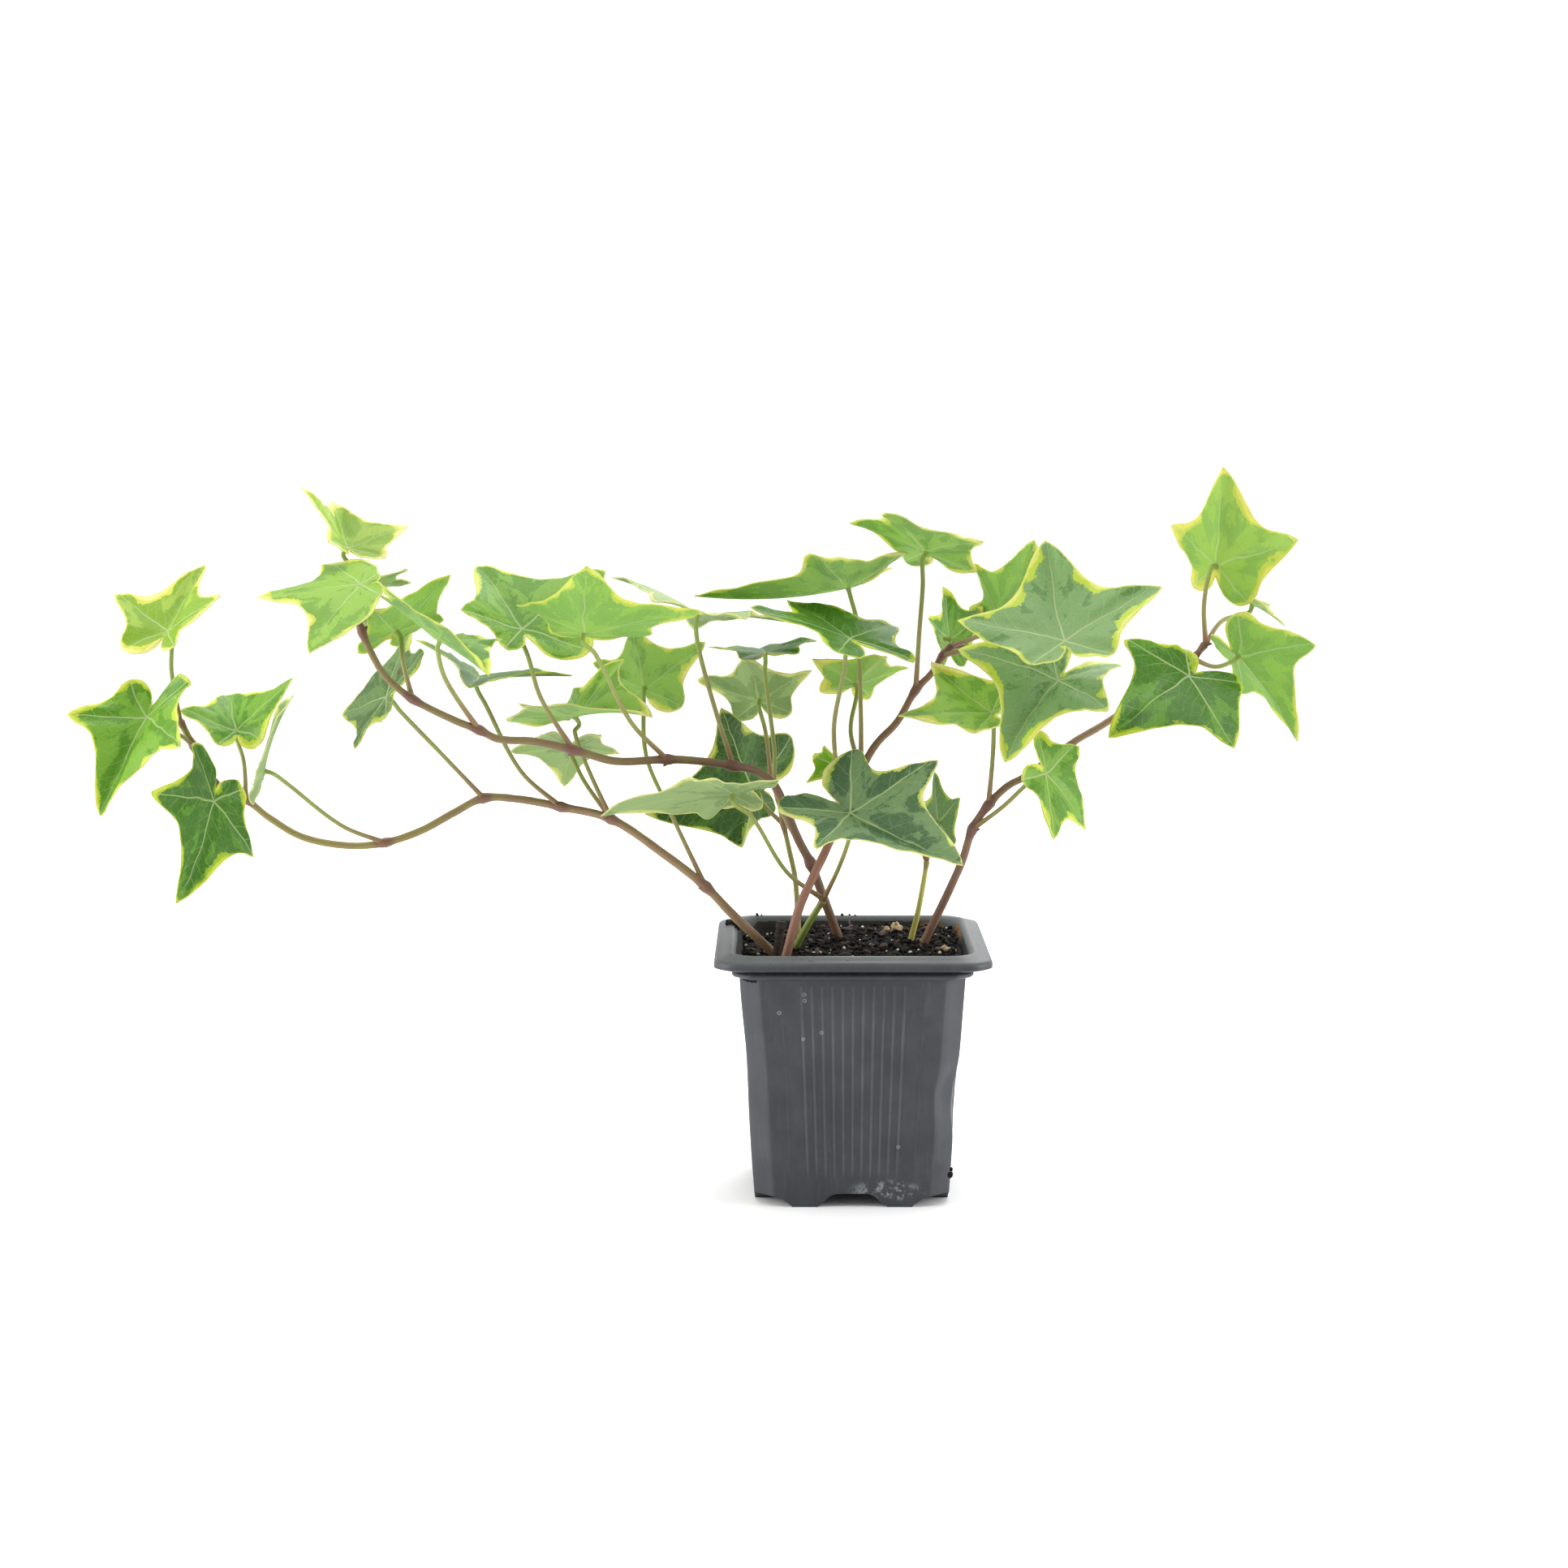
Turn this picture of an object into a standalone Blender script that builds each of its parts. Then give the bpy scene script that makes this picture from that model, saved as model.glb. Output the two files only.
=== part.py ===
"""Variegated ivy in a square nursery pot: the pot, its soil, seven stems and forty lobed leaves.

The plant stands on the middle pad of its pot, and the pad's centre is the origin. +Z is up and -Y is
the front. Lengths are written in millimetres and angles in degrees; MM turns lengths into metres.
"""
import math

import bmesh
import bpy
from mathutils import Matrix, Vector, geometry

MM = 0.001
CLEARANCE = 0.3       # between pieces that touch in the real plant

# Pot: a thin tapered box on four corner feet and a middle pad, with a ledge, a collar and a flared rim
# around its mouth. Each "half" is half of a width across the flats.
POT_HEIGHT = 83.0
WALL = 1.2
EDGE = 0.4            # small bevels
FOOT_HALF = 31.2      # wall at the ground
NECK_HALF = 36.0      # wall under the ledge
NECK_HEIGHT = 74.5
LEDGE_HALF = 38.4
LEDGE_HEIGHT = 2.2
COLLAR_HALF = 37.4    # groove between the ledge and the rim
RIM_HALF = 44.0       # outer edge of the rim
RIM_TOP_HALF = 39.8
RIM_DEPTH = 5.0       # from the pot's top down to the rim's underside
RIM_LIP = 1.2         # height of the rim's upright outer edge
MOUTH_HALF = 37.0
MOUTH_DEPTH = 1.0     # the mouth's edge is rounded to this depth
THROAT_HALF = 35.4    # inside, behind the collar
CORNER_CUT = 6.5      # width of the flat on each upright corner
INNER_CUT = 6.0
RIM_CUT = 5.5
CORNER_ROUNDING = 0.7
DRAIN_HEIGHT = 4.4    # arch under the middle of each side, which runs in as a channel
DRAIN_FOOT = 11.0     # half width of the arch at the ground
DRAIN_ROOF = 5.0      # half width of the arch's flat roof
DRAIN_START = 12.0    # the channels stop here, around the middle pad
DRAIN_HOLE_RADIUS = 3.0
DRAIN_HOLE_PLACE = 21.0

SOIL_TOP = 79.5
SOIL_TOP_HALF = 33.5
SOIL_SHOULDER = 1.5   # depth of the slope around the soil's top
SOIL_SHOULDER_HALF = 35.2

# Leaf blade: the lobes of half a leaf, from the tip to the stalk, as (angle, radius) for a leaf of
# length 1. The other half mirrors them.
TIP = (0, 1.0)
UPPER_NOTCH = (40, 0.60)
SIDE_LOBE = (66, 0.92)
LOWER_NOTCH = (96, 0.50)
BASE_LOBE = (130, 0.55)
SHOULDER = (156, 0.40)
SINUS = (180, 0.10)
HALF_LEAF = (TIP, UPPER_NOTCH, SIDE_LOBE, LOWER_NOTCH, BASE_LOBE, SHOULDER, SINUS)
SMALLEST_SINUS = 2.2
SIDE_DROOP = 12.0     # how far each half bends down from midrib to side lobe
BLADE_THICKNESS = 0.5
HUB_RADIUS = 0.9      # where the stalk meets the blade
STALK_RADIUS = 0.7
STALK_ROOT = 1.2      # depth under the blade's foot at which the stalk has its full shape
STALK_START = 3.0     # it runs squarely away from the blade to this depth
STALK_SECTIONS = 7
STALK_CROWDING = 1.4  # above 1, the sections are shorter near the blade
BEND_STEPS = 12       # steps from one bend of a stalk to the next, of which STALK_SECTIONS are kept

# Stems: (radius at the soil, radius at the tip), and the joints that each passes, from the soil up.
STEM_RADII = {
    "low_left": (1.3, 0.9),
    "high_left": (1.4, 0.9),
    "rear": (0.9, 0.7),
    "middle": (1.4, 0.9),
    "green": (1.2, 0.9),
    "right": (1.3, 0.9),
    "stub": (1.0, 0.7),
}
STEM_JOINTS = {
    "low_left": [
        (-27, -14, 81), (-39, -16, 93), (-47, -14, 101), (-61, -8, 111), (-78, 0, 121),
        (-95, 8, 124), (-109, 12, 126), (-121, 15, 126), (-131, 16, 121), (-142, 16, 115),
        (-154, 16, 111), (-166, 16, 110), (-181, 15, 113), (-192, 13, 120), (-199, 12, 126),
        (-209, 10, 132), (-215, 8, 144), (-219, 6, 153),
    ],
    "high_left": [
        (-4, 8, 81), (-9, 4, 95), (-13, 2, 106), (-17, 0, 114), (-21, -3, 124),
        (-25, -6, 133), (-31, -9, 138), (-38, -13, 140), (-49, -17, 142), (-59, -21, 143),
        (-75, -26, 143), (-88, -30, 147), (-100, -33, 150), (-111, -35, 151), (-117, -36, 154),
        (-124, -38, 157), (-137, -40, 164), (-145, -41, 171), (-149, -42, 178), (-152, -42, 185),
        (-154, -42, 193), (-154, -42, 199),
    ],
    "rear": [
        (-17, 21, 81), (-18, 26, 97), (-20, 25, 107), (-22, 24, 116), (-24, 23, 125),
        (-26, 22, 131),
    ],
    "middle": [
        (-21, -26, 81), (-17, -26, 96), (-13, -25, 105), (-8, -22, 115), (-3, -16, 126),
        (3, -8, 138), (8, -4, 146), (15, 0, 153), (21, 3, 163), (26, 5, 168),
        (30, 7, 174), (33, 8, 177),
    ],
    "green": [
        (-17, -2, 81), (-13, -6, 89), (-9, -9, 96),
    ],
    "right": [
        (24, -2, 81), (29, -4, 92), (32, -6, 99), (36, -8, 109), (39, -9, 119),
        (44, -10, 127), (50, -10, 133), (56, -8, 136), (72, -5, 147), (81, -3, 152),
        (95, 0, 161), (107, 3, 169), (111, 4, 173), (115, 4, 178),
    ],
    "stub": [
        (20, 4, 81), (22, 4, 89), (24, 4, 100), (25, 4, 107),
    ],
}
STEM_STEPS = 2        # straight pieces between one joint and the next

# Leaves, in order along their stem: (joint that it grows from, bends of its stalk, foot of its blade,
# (heading, pitch, roll) of its midrib, length, widths of its (left, right, base) lobes, (left, right) folds,
# curl of the tip).
# Heading 0 is +X and 90 is +Y; pitch lifts the tip; a roll of 0 keeps the upper face as level as it can be.
LEAVES = {
    "low_left": [
        (2, [(-59, -1, 124), (-67, 9, 141)],
         (-68, 20, 162), (-104, 61, 11), 26, (1.1, 0.8, 1.0), (24, 24), 22),
        (4, [(-86, 3, 138), (-90, 5, 149)],
         (-90, 6, 154), (-49, 14, 24), 39, (0.7, 1.05, 1.0), (28, 37), 23),
        (4, [(-87, 8, 132), (-91, 12, 139)],
         (-92, 14, 143), (102, -32, 1), 23, (1.0, 0.95, 1.0), (12, 12), 16),
        (5, [(-108, 7, 136), (-119, 5, 158)],
         (-121, 4, 167), (-89, 0, -17), 34, (1.15, 0.8, 1.0), (24, 23), -2),
        (7, [(-134, 2, 143), (-145, -8, 157)],
         (-149, -12, 162), (126, -13, -52), 33, (0.65, 1.05, 1.05), (2, 4), 10),
        (10, [(-167, 7, 118), (-183, -6, 134)],
         (-189, -10, 138), (-62, 60, 57), 33, (0.6, 0.65, 1.0), (14, 4), 21),
        (14, [(-200, 15, 138)], (-203, 18, 148), (109, 43, -7), 26, (0.85, 1.1, 0.8), (22, 31), 38),
        (15, [(-208, 2, 130)], (-206, -6, 128), (-100, -54, -72), 38, (0.7, 0.95, 1.05), (15, 5), 19),
        (16, [(-218, 3, 148)], (-227, -6, 155), (-122, -50, -11), 37, (1.05, 0.75, 0.95), (32, 31), 6),
        (17, [(-221, 5, 169)], (-222, 4, 182), (62, 46, -3), 29, (1.0, 0.9, 1.0), (21, 21), -1),
    ],
    "high_left": [
        (2, [(-24, 3, 127), (-25, 4, 144), (-28, 6, 168)],
         (-28, 6, 175), (100, 8, -5), 23, (0.95, 1.0, 1.0), (9, 9), 20),
        (7, [(-44, -14, 159), (-49, -15, 178)],
         (-49, -16, 189), (92, -3, 15), 36, (1.0, 1.0, 1.0), (15, 15), 17),
        (9, [(-70, -30, 156), (-80, -42, 178)],
         (-83, -46, 185), (-88, 21, -11), 40, (1.1, 0.65, 1.05), (20, 8), -26),
        (11, [(-98, -29, 163), (-102, -28, 176)],
         (-104, -28, 185), (125, 41, -10), 37, (0.6, 1.2, 0.95), (12, 10), 22),
        (14, [(-126, -44, 170)], (-127, -50, 183), (-59, -10, -13), 38, (0.55, 1.1, 1.0), (21, 31), 9),
        (16, [(-141, -31, 175)], (-144, -23, 184), (-28, 43, -5), 29, (0.65, 0.95, 1.0), (0, 0), 5),
        (19, [(-153, -24, 182)], (-152, -14, 184), (176, 13, 19), 13, (1.0, 1.0, 1.0), (9, 14), 15),
        (20, [(-150, -59, 199)], (-149, -67, 201), (-178, -5, -23), 32, (1.25, 1.05, 0.5), (-4, -4), 8),
        (20, [(-154, -26, 193)], (-157, -14, 197), (-31, 16, 0), 22, (0.95, 0.75, 1.0), (0, 14), -1),
        (21, [(-155, -42, 205)], (-156, -42, 211), (110, 26, 22), 28, (0.95, 0.9, 1.0), (32, 33), -10),
    ],
    "rear": [
        (3, [(-29, 39, 121)], (-32, 46, 124), (-146, -7, 86), 43, (1.0, 0.5, 1.0), (-10, -5), -12),
        (5, [(-28, 27, 147)], (-30, 30, 157), (-107, 52, 11), 24, (0.95, 1.0, 1.0), (14, 14), 18),
    ],
    "middle": [
        (4, [(-4, -14, 129), (-2, -6, 135)],
         (-5, -8, 140), (139, 9, -80), 13, (1.0, 0.65, 1.0), (44, 47), 20),
        (4, [(-6, -21, 152), (-3, -25, 171)],
         (-1, -28, 182), (128, 22, 10), 33, (1.15, 1.1, 1.1), (4, 10), 8),
        (5, [(3, -3, 156), (2, 5, 184)],
         (-1, 8, 196), (-168, -12, 16), 51, (0.8, 0.85, 1.15), (10, 19), -24),
        (5, [(0, 8, 149)], (2, 26, 163), (-60, 38, -8), 23, (0.9, 1.0, 1.0), (15, 15), 19),
        (8, [(22, 2, 182), (23, 1, 197)], (24, 0, 208), (-120, 34, -8), 32, (1.0, 0.95, 1.0), (8, 8), 14),
        (10, [(43, -6, 177), (60, -25, 169)],
         (64, -30, 169), (-129, -27, -19), 35, (0.95, 1.05, 1.15), (24, 32), 36),
        (10, [(32, 13, 175)], (33, 22, 178), (99, 82, 109), 18, (1.3, 1.25, 1.0), (14, 15), 9),
        (11, [(41, 3, 177)], (49, 2, 185), (-77, 37, -19), 38, (0.7, 0.65, 1.3), (38, 48), -27),
        (11, [(46, -16, 183), (60, -39, 182)],
         (64, -48, 183), (99, 39, -2), 39, (0.95, 1.0, 0.8), (-2, 19), -26),
    ],
    "green": [
        (2, [(-4, -21, 109), (-1, -31, 120)],
         (-1, -38, 128), (-44, -17, 25), 50, (0.7, 0.65, 1.3), (26, 21), -8),
        (2, [(-21, -15, 106), (-32, -24, 125)],
         (-38, -28, 133), (-178, -1, 29), 43, (0.7, 0.45, 1.25), (-4, -8), 19),
    ],
    "stub": [
        (3, [(25, 4, 113)], (29, 6, 119), (122, 81, 80), 17, (1.2, 1.25, 1.0), (9, 8), 5),
    ],
    "right": [
        (4, [(48, -16, 127), (56, -23, 136)],
         (61, -26, 139), (32, -43, 60), 28, (0.95, 0.9, 1.0), (7, 7), 13),
        (5, [(45, -14, 144)], (44, -18, 158), (125, 16, -33), 31, (1.15, 0.45, 0.95), (28, 16), -34),
        (11, [(107, -5, 170)], (107, -16, 169), (-140, -21, -40), 38, (1.0, 0.7, 0.8), (14, 14), 23),
        (12, [(117, -3, 171)], (124, -8, 175), (-9, -47, -39), 34, (0.8, 0.9, 0.95), (24, 24), 23),
        (13, [(114, 2, 191)], (118, 4, 203), (-75, 80, -56), 34, (1.0, 0.8, 0.9), (14, 18), 5),
        (13, [(121, 9, 185)], (132, 16, 190), (-13, -24, -6), 13, (1.0, 1.0, 1.0), (14, 17), 19),
    ],
}

COLOURS = {
    "pot_plastic": ((0.085, 0.087, 0.098, 1), 0.45),
    "potting_soil": ((0.016, 0.010, 0.007, 1), 0.95),
    "stem_bark": ((0.15, 0.085, 0.045, 1), 0.6),
    "leaf_green": ((0.13, 0.27, 0.06, 1), 0.45),
}


def clear_scene():
    for old in list(bpy.data.objects):
        bpy.data.objects.remove(old)


def material(kind, node):
    """A material of the node's own, in the colour and roughness of its kind."""
    colour, roughness = COLOURS[kind]
    new = bpy.data.materials.new(node)
    new.use_nodes = True
    shader = new.node_tree.nodes["Principled BSDF"]
    shader.inputs["Base Color"].default_value = colour
    shader.inputs["Roughness"].default_value = roughness
    shader.inputs["Metallic"].default_value = 0.0
    new.diffuse_color = colour
    return new


def add_object(name, bm, kind=None):
    """Turn a bmesh in millimetres into a named object in metres."""
    bmesh.ops.scale(bm, vec=(MM, MM, MM), verts=bm.verts)
    bmesh.ops.recalc_face_normals(bm, faces=bm.faces)
    mesh = bpy.data.meshes.new(name)
    bm.to_mesh(mesh)
    bm.free()
    thing = bpy.data.objects.new(name, mesh)
    bpy.context.collection.objects.link(thing)
    if kind:
        mesh.materials.append(material(kind, name))
    return thing


def add_boolean(thing, other, operation):
    """Join or cut a piece with a guide shape, which stays hidden."""
    cut = thing.modifiers.new(other.name, "BOOLEAN")
    cut.operation = operation
    cut.object = other
    other.hide_render = True
    other.display_type = "WIRE"


def smooth_route(points, steps):
    """Points along a smooth curve through the given points, `steps` from each to the next."""
    points = [Vector(point) for point in points]
    last = len(points) - 1
    ways = [(points[min(i + 1, last)] - points[max(i - 1, 0)]).normalized() for i in range(last + 1)]
    route = [points[0]]
    for i in range(last):
        reach = (points[i + 1] - points[i]).length / 3
        handles = points[i] + ways[i] * reach, points[i + 1] - ways[i + 1] * reach
        route += geometry.interpolate_bezier(points[i], *handles, points[i + 1], steps + 1)[1:]
    return route


def extruded_through(rings):
    """A solid that starts as the first ring's face and is extruded through the rings after it."""
    bm = bmesh.new()
    face = bm.faces.new([bm.verts.new(point) for point in rings[0]])
    for ring in rings[1:]:
        face = bmesh.ops.extrude_discrete_faces(bm, faces=[face])["faces"][0]
        for vert, point in zip(face.verts, ring):
            vert.co = point
    bmesh.ops.holes_fill(bm, edges=bm.edges)
    return bm


def square_ring(height, half, cut, bulge=0.0):
    """A level square with cut corners; a bulge pushes the middle of each cut out to round it."""
    middle = half - cut / 2 + bulge
    ring = []
    for turn in range(4):
        for x, y in ((half, half - cut), (middle, middle), (half - cut, half)):
            for _ in range(turn):
                x, y = -y, x
            ring.append((x, y, height))
    return ring


def wall_half(height):
    """Half width of the pot's wall, outside, at a height below the rim."""
    return FOOT_HALF + (NECK_HALF - FOOT_HALF) * height / NECK_HEIGHT


def drain_guides(name, skin, outer_end, bottom):
    """Four arched bars, one along each drain channel, larger than the channel by `skin` all round."""
    guides = []
    slope = (DRAIN_FOOT - DRAIN_ROOF) / DRAIN_HEIGHT
    roof = DRAIN_HEIGHT + skin
    inner_end = DRAIN_START - skin
    low_half, roof_half = (DRAIN_FOOT + skin - slope * height for height in (bottom, roof))
    section = [(-low_half, bottom), (low_half, bottom), (roof_half, roof), (-roof_half, roof)]
    for side in range(4):
        bars = [[(x, y, z) for y, z in section] for x in (inner_end, outer_end)]
        bm = extruded_through(bars)
        turn = math.pi / 2 * side
        bmesh.ops.rotate(bm, cent=(0, 0, 0), matrix=Matrix.Rotation(turn, 3, "Z"), verts=bm.verts)
        guides.append(add_object(f"{name}_guide_{side + 1}", bm))
    return guides


def drain_holes():
    """Four round cutters, one through the roof of each drain channel."""
    holes = []
    for side in range(4):
        turn = math.pi / 2 * side
        bm = bmesh.new()
        bmesh.ops.create_cone(bm, cap_ends=True, segments=10, radius1=DRAIN_HOLE_RADIUS,
                              radius2=DRAIN_HOLE_RADIUS, depth=4 * DRAIN_HEIGHT)
        place = (DRAIN_HOLE_PLACE * math.cos(turn), DRAIN_HOLE_PLACE * math.sin(turn), DRAIN_HEIGHT)
        bmesh.ops.translate(bm, vec=place, verts=bm.verts)
        holes.append(add_object(f"drain_hole_guide_{side + 1}", bm))
    return holes


def build_pot():
    ledge_top = NECK_HEIGHT + LEDGE_HEIGHT
    rim_foot = POT_HEIGHT - RIM_DEPTH
    outside = [
        square_ring(0, FOOT_HALF, CORNER_CUT),
        square_ring(NECK_HEIGHT, NECK_HALF, CORNER_CUT),
        square_ring(NECK_HEIGHT + EDGE, LEDGE_HALF - EDGE, INNER_CUT, CORNER_ROUNDING),
        square_ring(ledge_top, LEDGE_HALF, INNER_CUT, CORNER_ROUNDING),
        square_ring(ledge_top + EDGE, COLLAR_HALF, INNER_CUT, CORNER_ROUNDING),
        square_ring(rim_foot, COLLAR_HALF, INNER_CUT, CORNER_ROUNDING),
        square_ring(rim_foot + EDGE / 2, RIM_HALF - EDGE, RIM_CUT, CORNER_ROUNDING),
        square_ring(rim_foot + RIM_LIP, RIM_HALF, RIM_CUT, CORNER_ROUNDING),
        square_ring(POT_HEIGHT - 2 * EDGE, RIM_TOP_HALF + 3 * EDGE, RIM_CUT, CORNER_ROUNDING),
        square_ring(POT_HEIGHT, RIM_TOP_HALF, RIM_CUT, CORNER_ROUNDING),
    ]
    inside = [
        square_ring(POT_HEIGHT, MOUTH_HALF + 2 * EDGE, RIM_CUT, CORNER_ROUNDING),
        square_ring(POT_HEIGHT - MOUTH_DEPTH, MOUTH_HALF, RIM_CUT, CORNER_ROUNDING),
        square_ring(NECK_HEIGHT + MOUTH_DEPTH, THROAT_HALF, INNER_CUT),
        square_ring(NECK_HEIGHT, NECK_HALF - WALL, INNER_CUT),
        square_ring(WALL, wall_half(WALL) - WALL, INNER_CUT),
    ]
    pot = add_object("pot", extruded_through(outside + inside), "pot_plastic")
    for ridge in drain_guides("drain_ridge", WALL, FOOT_HALF - WALL / 2, WALL / 2):
        add_boolean(pot, ridge, "UNION")
    for channel in drain_guides("drain_channel", 0, FOOT_HALF + WALL, -WALL):
        add_boolean(pot, channel, "DIFFERENCE")
    for hole in drain_holes():
        add_boolean(pot, hole, "DIFFERENCE")


def build_soil():
    skin = WALL + CLEARANCE
    rings = [
        square_ring(skin, wall_half(skin) - skin, INNER_CUT),
        square_ring(NECK_HEIGHT - EDGE, NECK_HALF - EDGE - skin, INNER_CUT),
        square_ring(SOIL_TOP - SOIL_SHOULDER, SOIL_SHOULDER_HALF, INNER_CUT),
        square_ring(SOIL_TOP, SOIL_TOP_HALF, INNER_CUT),
    ]
    soil = add_object("potting_soil", extruded_through(rings), "potting_soil")
    for ridge in drain_guides("soil_groove", skin, FOOT_HALF + WALL, -WALL):
        add_boolean(soil, ridge, "DIFFERENCE")


def stem_route(stem):
    return smooth_route(STEM_JOINTS[stem], STEM_STEPS)


def build_stem(stem):
    """A tapering round tube along the stem's joints, closed at both ends."""
    foot_radius, tip_radius = STEM_RADII[stem]
    route = stem_route(stem)
    curve = bpy.data.curves.new(f"stem_{stem}", "CURVE")
    curve.dimensions = "3D"
    curve.bevel_depth = MM
    curve.bevel_resolution = 1
    curve.use_fill_caps = True
    spline = curve.splines.new("POLY")
    spline.points.add(len(route) - 1)
    for i, (point, place) in enumerate(zip(spline.points, route)):
        point.co = (*(place * MM), 1)
        point.radius = foot_radius + (tip_radius - foot_radius) * i / (len(route) - 1)
    curve.materials.append(material("stem_bark", f"stem_{stem}"))
    thing = bpy.data.objects.new(f"stem_{stem}", curve)
    bpy.context.collection.objects.link(thing)


def blade_axes(heading, pitch, roll):
    """Unit vectors to a blade's right, along its midrib to the tip, and up out of its upper face."""
    heading, pitch, roll = (math.radians(angle) for angle in (heading, pitch, roll))
    ahead = Vector((math.cos(heading), math.sin(heading), 0))
    tip = ahead * math.cos(pitch) + Vector((0, 0, math.sin(pitch)))
    level = Vector((0, 0, math.cos(pitch))) - ahead * math.sin(pitch)
    level_right = tip.cross(level)
    right = level_right * math.cos(roll) - level * math.sin(roll)
    face = level * math.cos(roll) + level_right * math.sin(roll)
    return right, tip, face


def bent_blade(x, y, length, folds, curl):
    """Where a point of the flat leaf goes when its sides droop, its halves fold and its tip curls."""
    droop = math.radians(SIDE_DROOP) / length
    side = abs(x)
    out, up = math.sin(droop * side) / droop, -(1 - math.cos(droop * side)) / droop
    fold = math.radians(folds[0] if x < 0 else folds[1])
    out, up = out * math.cos(fold) - up * math.sin(fold), out * math.sin(fold) + up * math.cos(fold)
    bend = math.radians(curl) / length
    along = math.sin(bend * y) * (1 / bend + up)
    up = math.cos(bend * y) * (1 / bend + up) - 1 / bend
    return math.copysign(out, x), along, up


def leaf_outline(length, widths):
    """The twelve corners of the flat leaf, clockwise from the tip, as (angle, radius)."""
    left, right, base = widths
    halves = []
    for side, width in ((1, right), (-1, left)):
        shares = (1, (1 + width) / 2, width, width, width * base, width * base, 1)
        halves.append([(side * math.radians(angle), max(length * radius * share, SMALLEST_SINUS))
                       for (angle, radius), share in zip(HALF_LEAF, shares)])
    return halves[0] + halves[1][-2:0:-1]


def stalk_route(stem, joint, bends, foot, face):
    """The stalk's path from under the blade to just short of its stem."""
    foot = Vector(foot)
    knots = [foot - face * STALK_ROOT, foot - face * STALK_START]
    knots += [Vector(bend) for bend in reversed(bends)]
    knots.append(Vector(STEM_JOINTS[stem][joint]))
    route = smooth_route(knots, BEND_STEPS)
    nearest_allowed = STEM_RADII[stem][0] + STALK_RADIUS + CLEARANCE
    stem_line = stem_route(stem)
    while distance_to_line(route[-1], stem_line) < nearest_allowed:
        route.pop()
    shares = [(i / STALK_SECTIONS) ** STALK_CROWDING for i in range(STALK_SECTIONS + 1)]
    steps = {round(share * (len(route) - 1)) for share in shares}
    return [route[step] for step in sorted(steps)]


def distance_to_line(point, line):
    """Shortest distance from a point to a line of straight pieces."""
    best = math.inf
    for start, end in zip(line, line[1:]):
        nearest, share = geometry.intersect_point_line(point, start, end)
        nearest = start if share < 0 else end if share > 1 else nearest
        best = min(best, (point - nearest).length)
    return best


def build_leaf(name, stem, joint, bends, foot, turn, length, widths, folds, curl):
    """A lobed blade with its stalk drawn out of the underside, as one closed solid."""
    right, tip, face = blade_axes(*turn)
    outline = leaf_outline(length, widths)
    bm = bmesh.new()
    bmesh.ops.create_circle(bm, cap_ends=True, segments=len(outline), radius=HUB_RADIUS)
    rings = [list(bm.verts)]
    for _ in range(2):
        rim = [edge for edge in bm.edges if edge.is_boundary]
        grown = bmesh.ops.extrude_edge_only(bm, edges=rim)["geom"]
        ring = [vert for vert in grown if isinstance(vert, bmesh.types.BMVert)]
        bmesh.ops.scale(bm, vec=(2, 2, 2), verts=ring)
        rings.append(ring)
    for ring, share in zip(rings, (0, 0.5, 1)):
        for vert in ring:
            place_on_blade(vert, share, outline, length, folds, curl)
    bmesh.ops.recalc_face_normals(bm, faces=bm.faces)
    hub = max(bm.faces, key=lambda one: len(one.verts))
    if hub.normal.z < 0:
        bmesh.ops.reverse_faces(bm, faces=bm.faces)
    bmesh.ops.triangulate(bm, faces=[one for one in bm.faces if one != hub])
    bmesh.ops.solidify(bm, geom=bm.faces, thickness=BLADE_THICKNESS)
    bm.normal_update()
    under = min((one for one in bm.faces if len(one.verts) == len(outline)), key=lambda one: one.normal.z)
    corners = list(under.verts)
    bmesh.ops.weld_verts(bm, targetmap=dict(zip(corners[::2], corners[1::2])))
    for vert in bm.verts:
        vert.co = Vector(foot) + right * vert.co.x + tip * vert.co.y + face * vert.co.z
    bm.normal_update()
    draw_out_stalk(bm, stalk_route(stem, joint, bends, foot, face), face)
    add_object(name, bm, "leaf_green")


def place_on_blade(vert, share, outline, length, folds, curl):
    """Move a vertex of the round starting disc out to its lobe, `share` of the way from hub to edge.

    The hub itself stays flat, so that the stalk has a level foot.
    """
    around = math.atan2(vert.co.x, vert.co.y)
    corner = round(around / math.tau * len(outline)) % len(outline)
    angle, reach = outline[corner]
    radius = HUB_RADIUS + (reach - HUB_RADIUS) * share
    x, y = radius * math.sin(angle), radius * math.cos(angle)
    vert.co = bent_blade(x, y, length, folds, curl) if share else (x, y, 0)


def draw_out_stalk(bm, route, face):
    """Extrude the six-sided patch under the blade's foot along the stalk's path."""
    patches = [one for one in bm.faces if len(one.verts) == 6 and one.normal.dot(face) < 0]
    patch = min(patches, key=lambda one: one.calc_area())
    heading = -face
    spokes = [vert.co - patch.calc_center_median() for vert in patch.verts]
    before = patch.calc_center_median()
    for i, place in enumerate(route):
        onward = route[i + 1] if i + 1 < len(route) else place + (place - before)
        next_heading = (onward - before).normalized()
        turn = heading.rotation_difference(next_heading)
        spokes = [turn @ spoke for spoke in spokes]
        spokes = [(spoke - next_heading * spoke.dot(next_heading)).normalized() for spoke in spokes]
        patch = bmesh.ops.extrude_discrete_faces(bm, faces=[patch])["faces"][0]
        for vert, spoke in zip(patch.verts, spokes):
            vert.co = place + spoke * STALK_RADIUS
        heading, before = next_heading, place


def main():
    clear_scene()
    build_pot()
    build_soil()
    for stem in STEM_JOINTS:
        build_stem(stem)
    for stem, leaves in LEAVES.items():
        for count, leaf in enumerate(leaves, 1):
            build_leaf(f"leaf_{stem}_{count}", stem, *leaf)


main()
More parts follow.
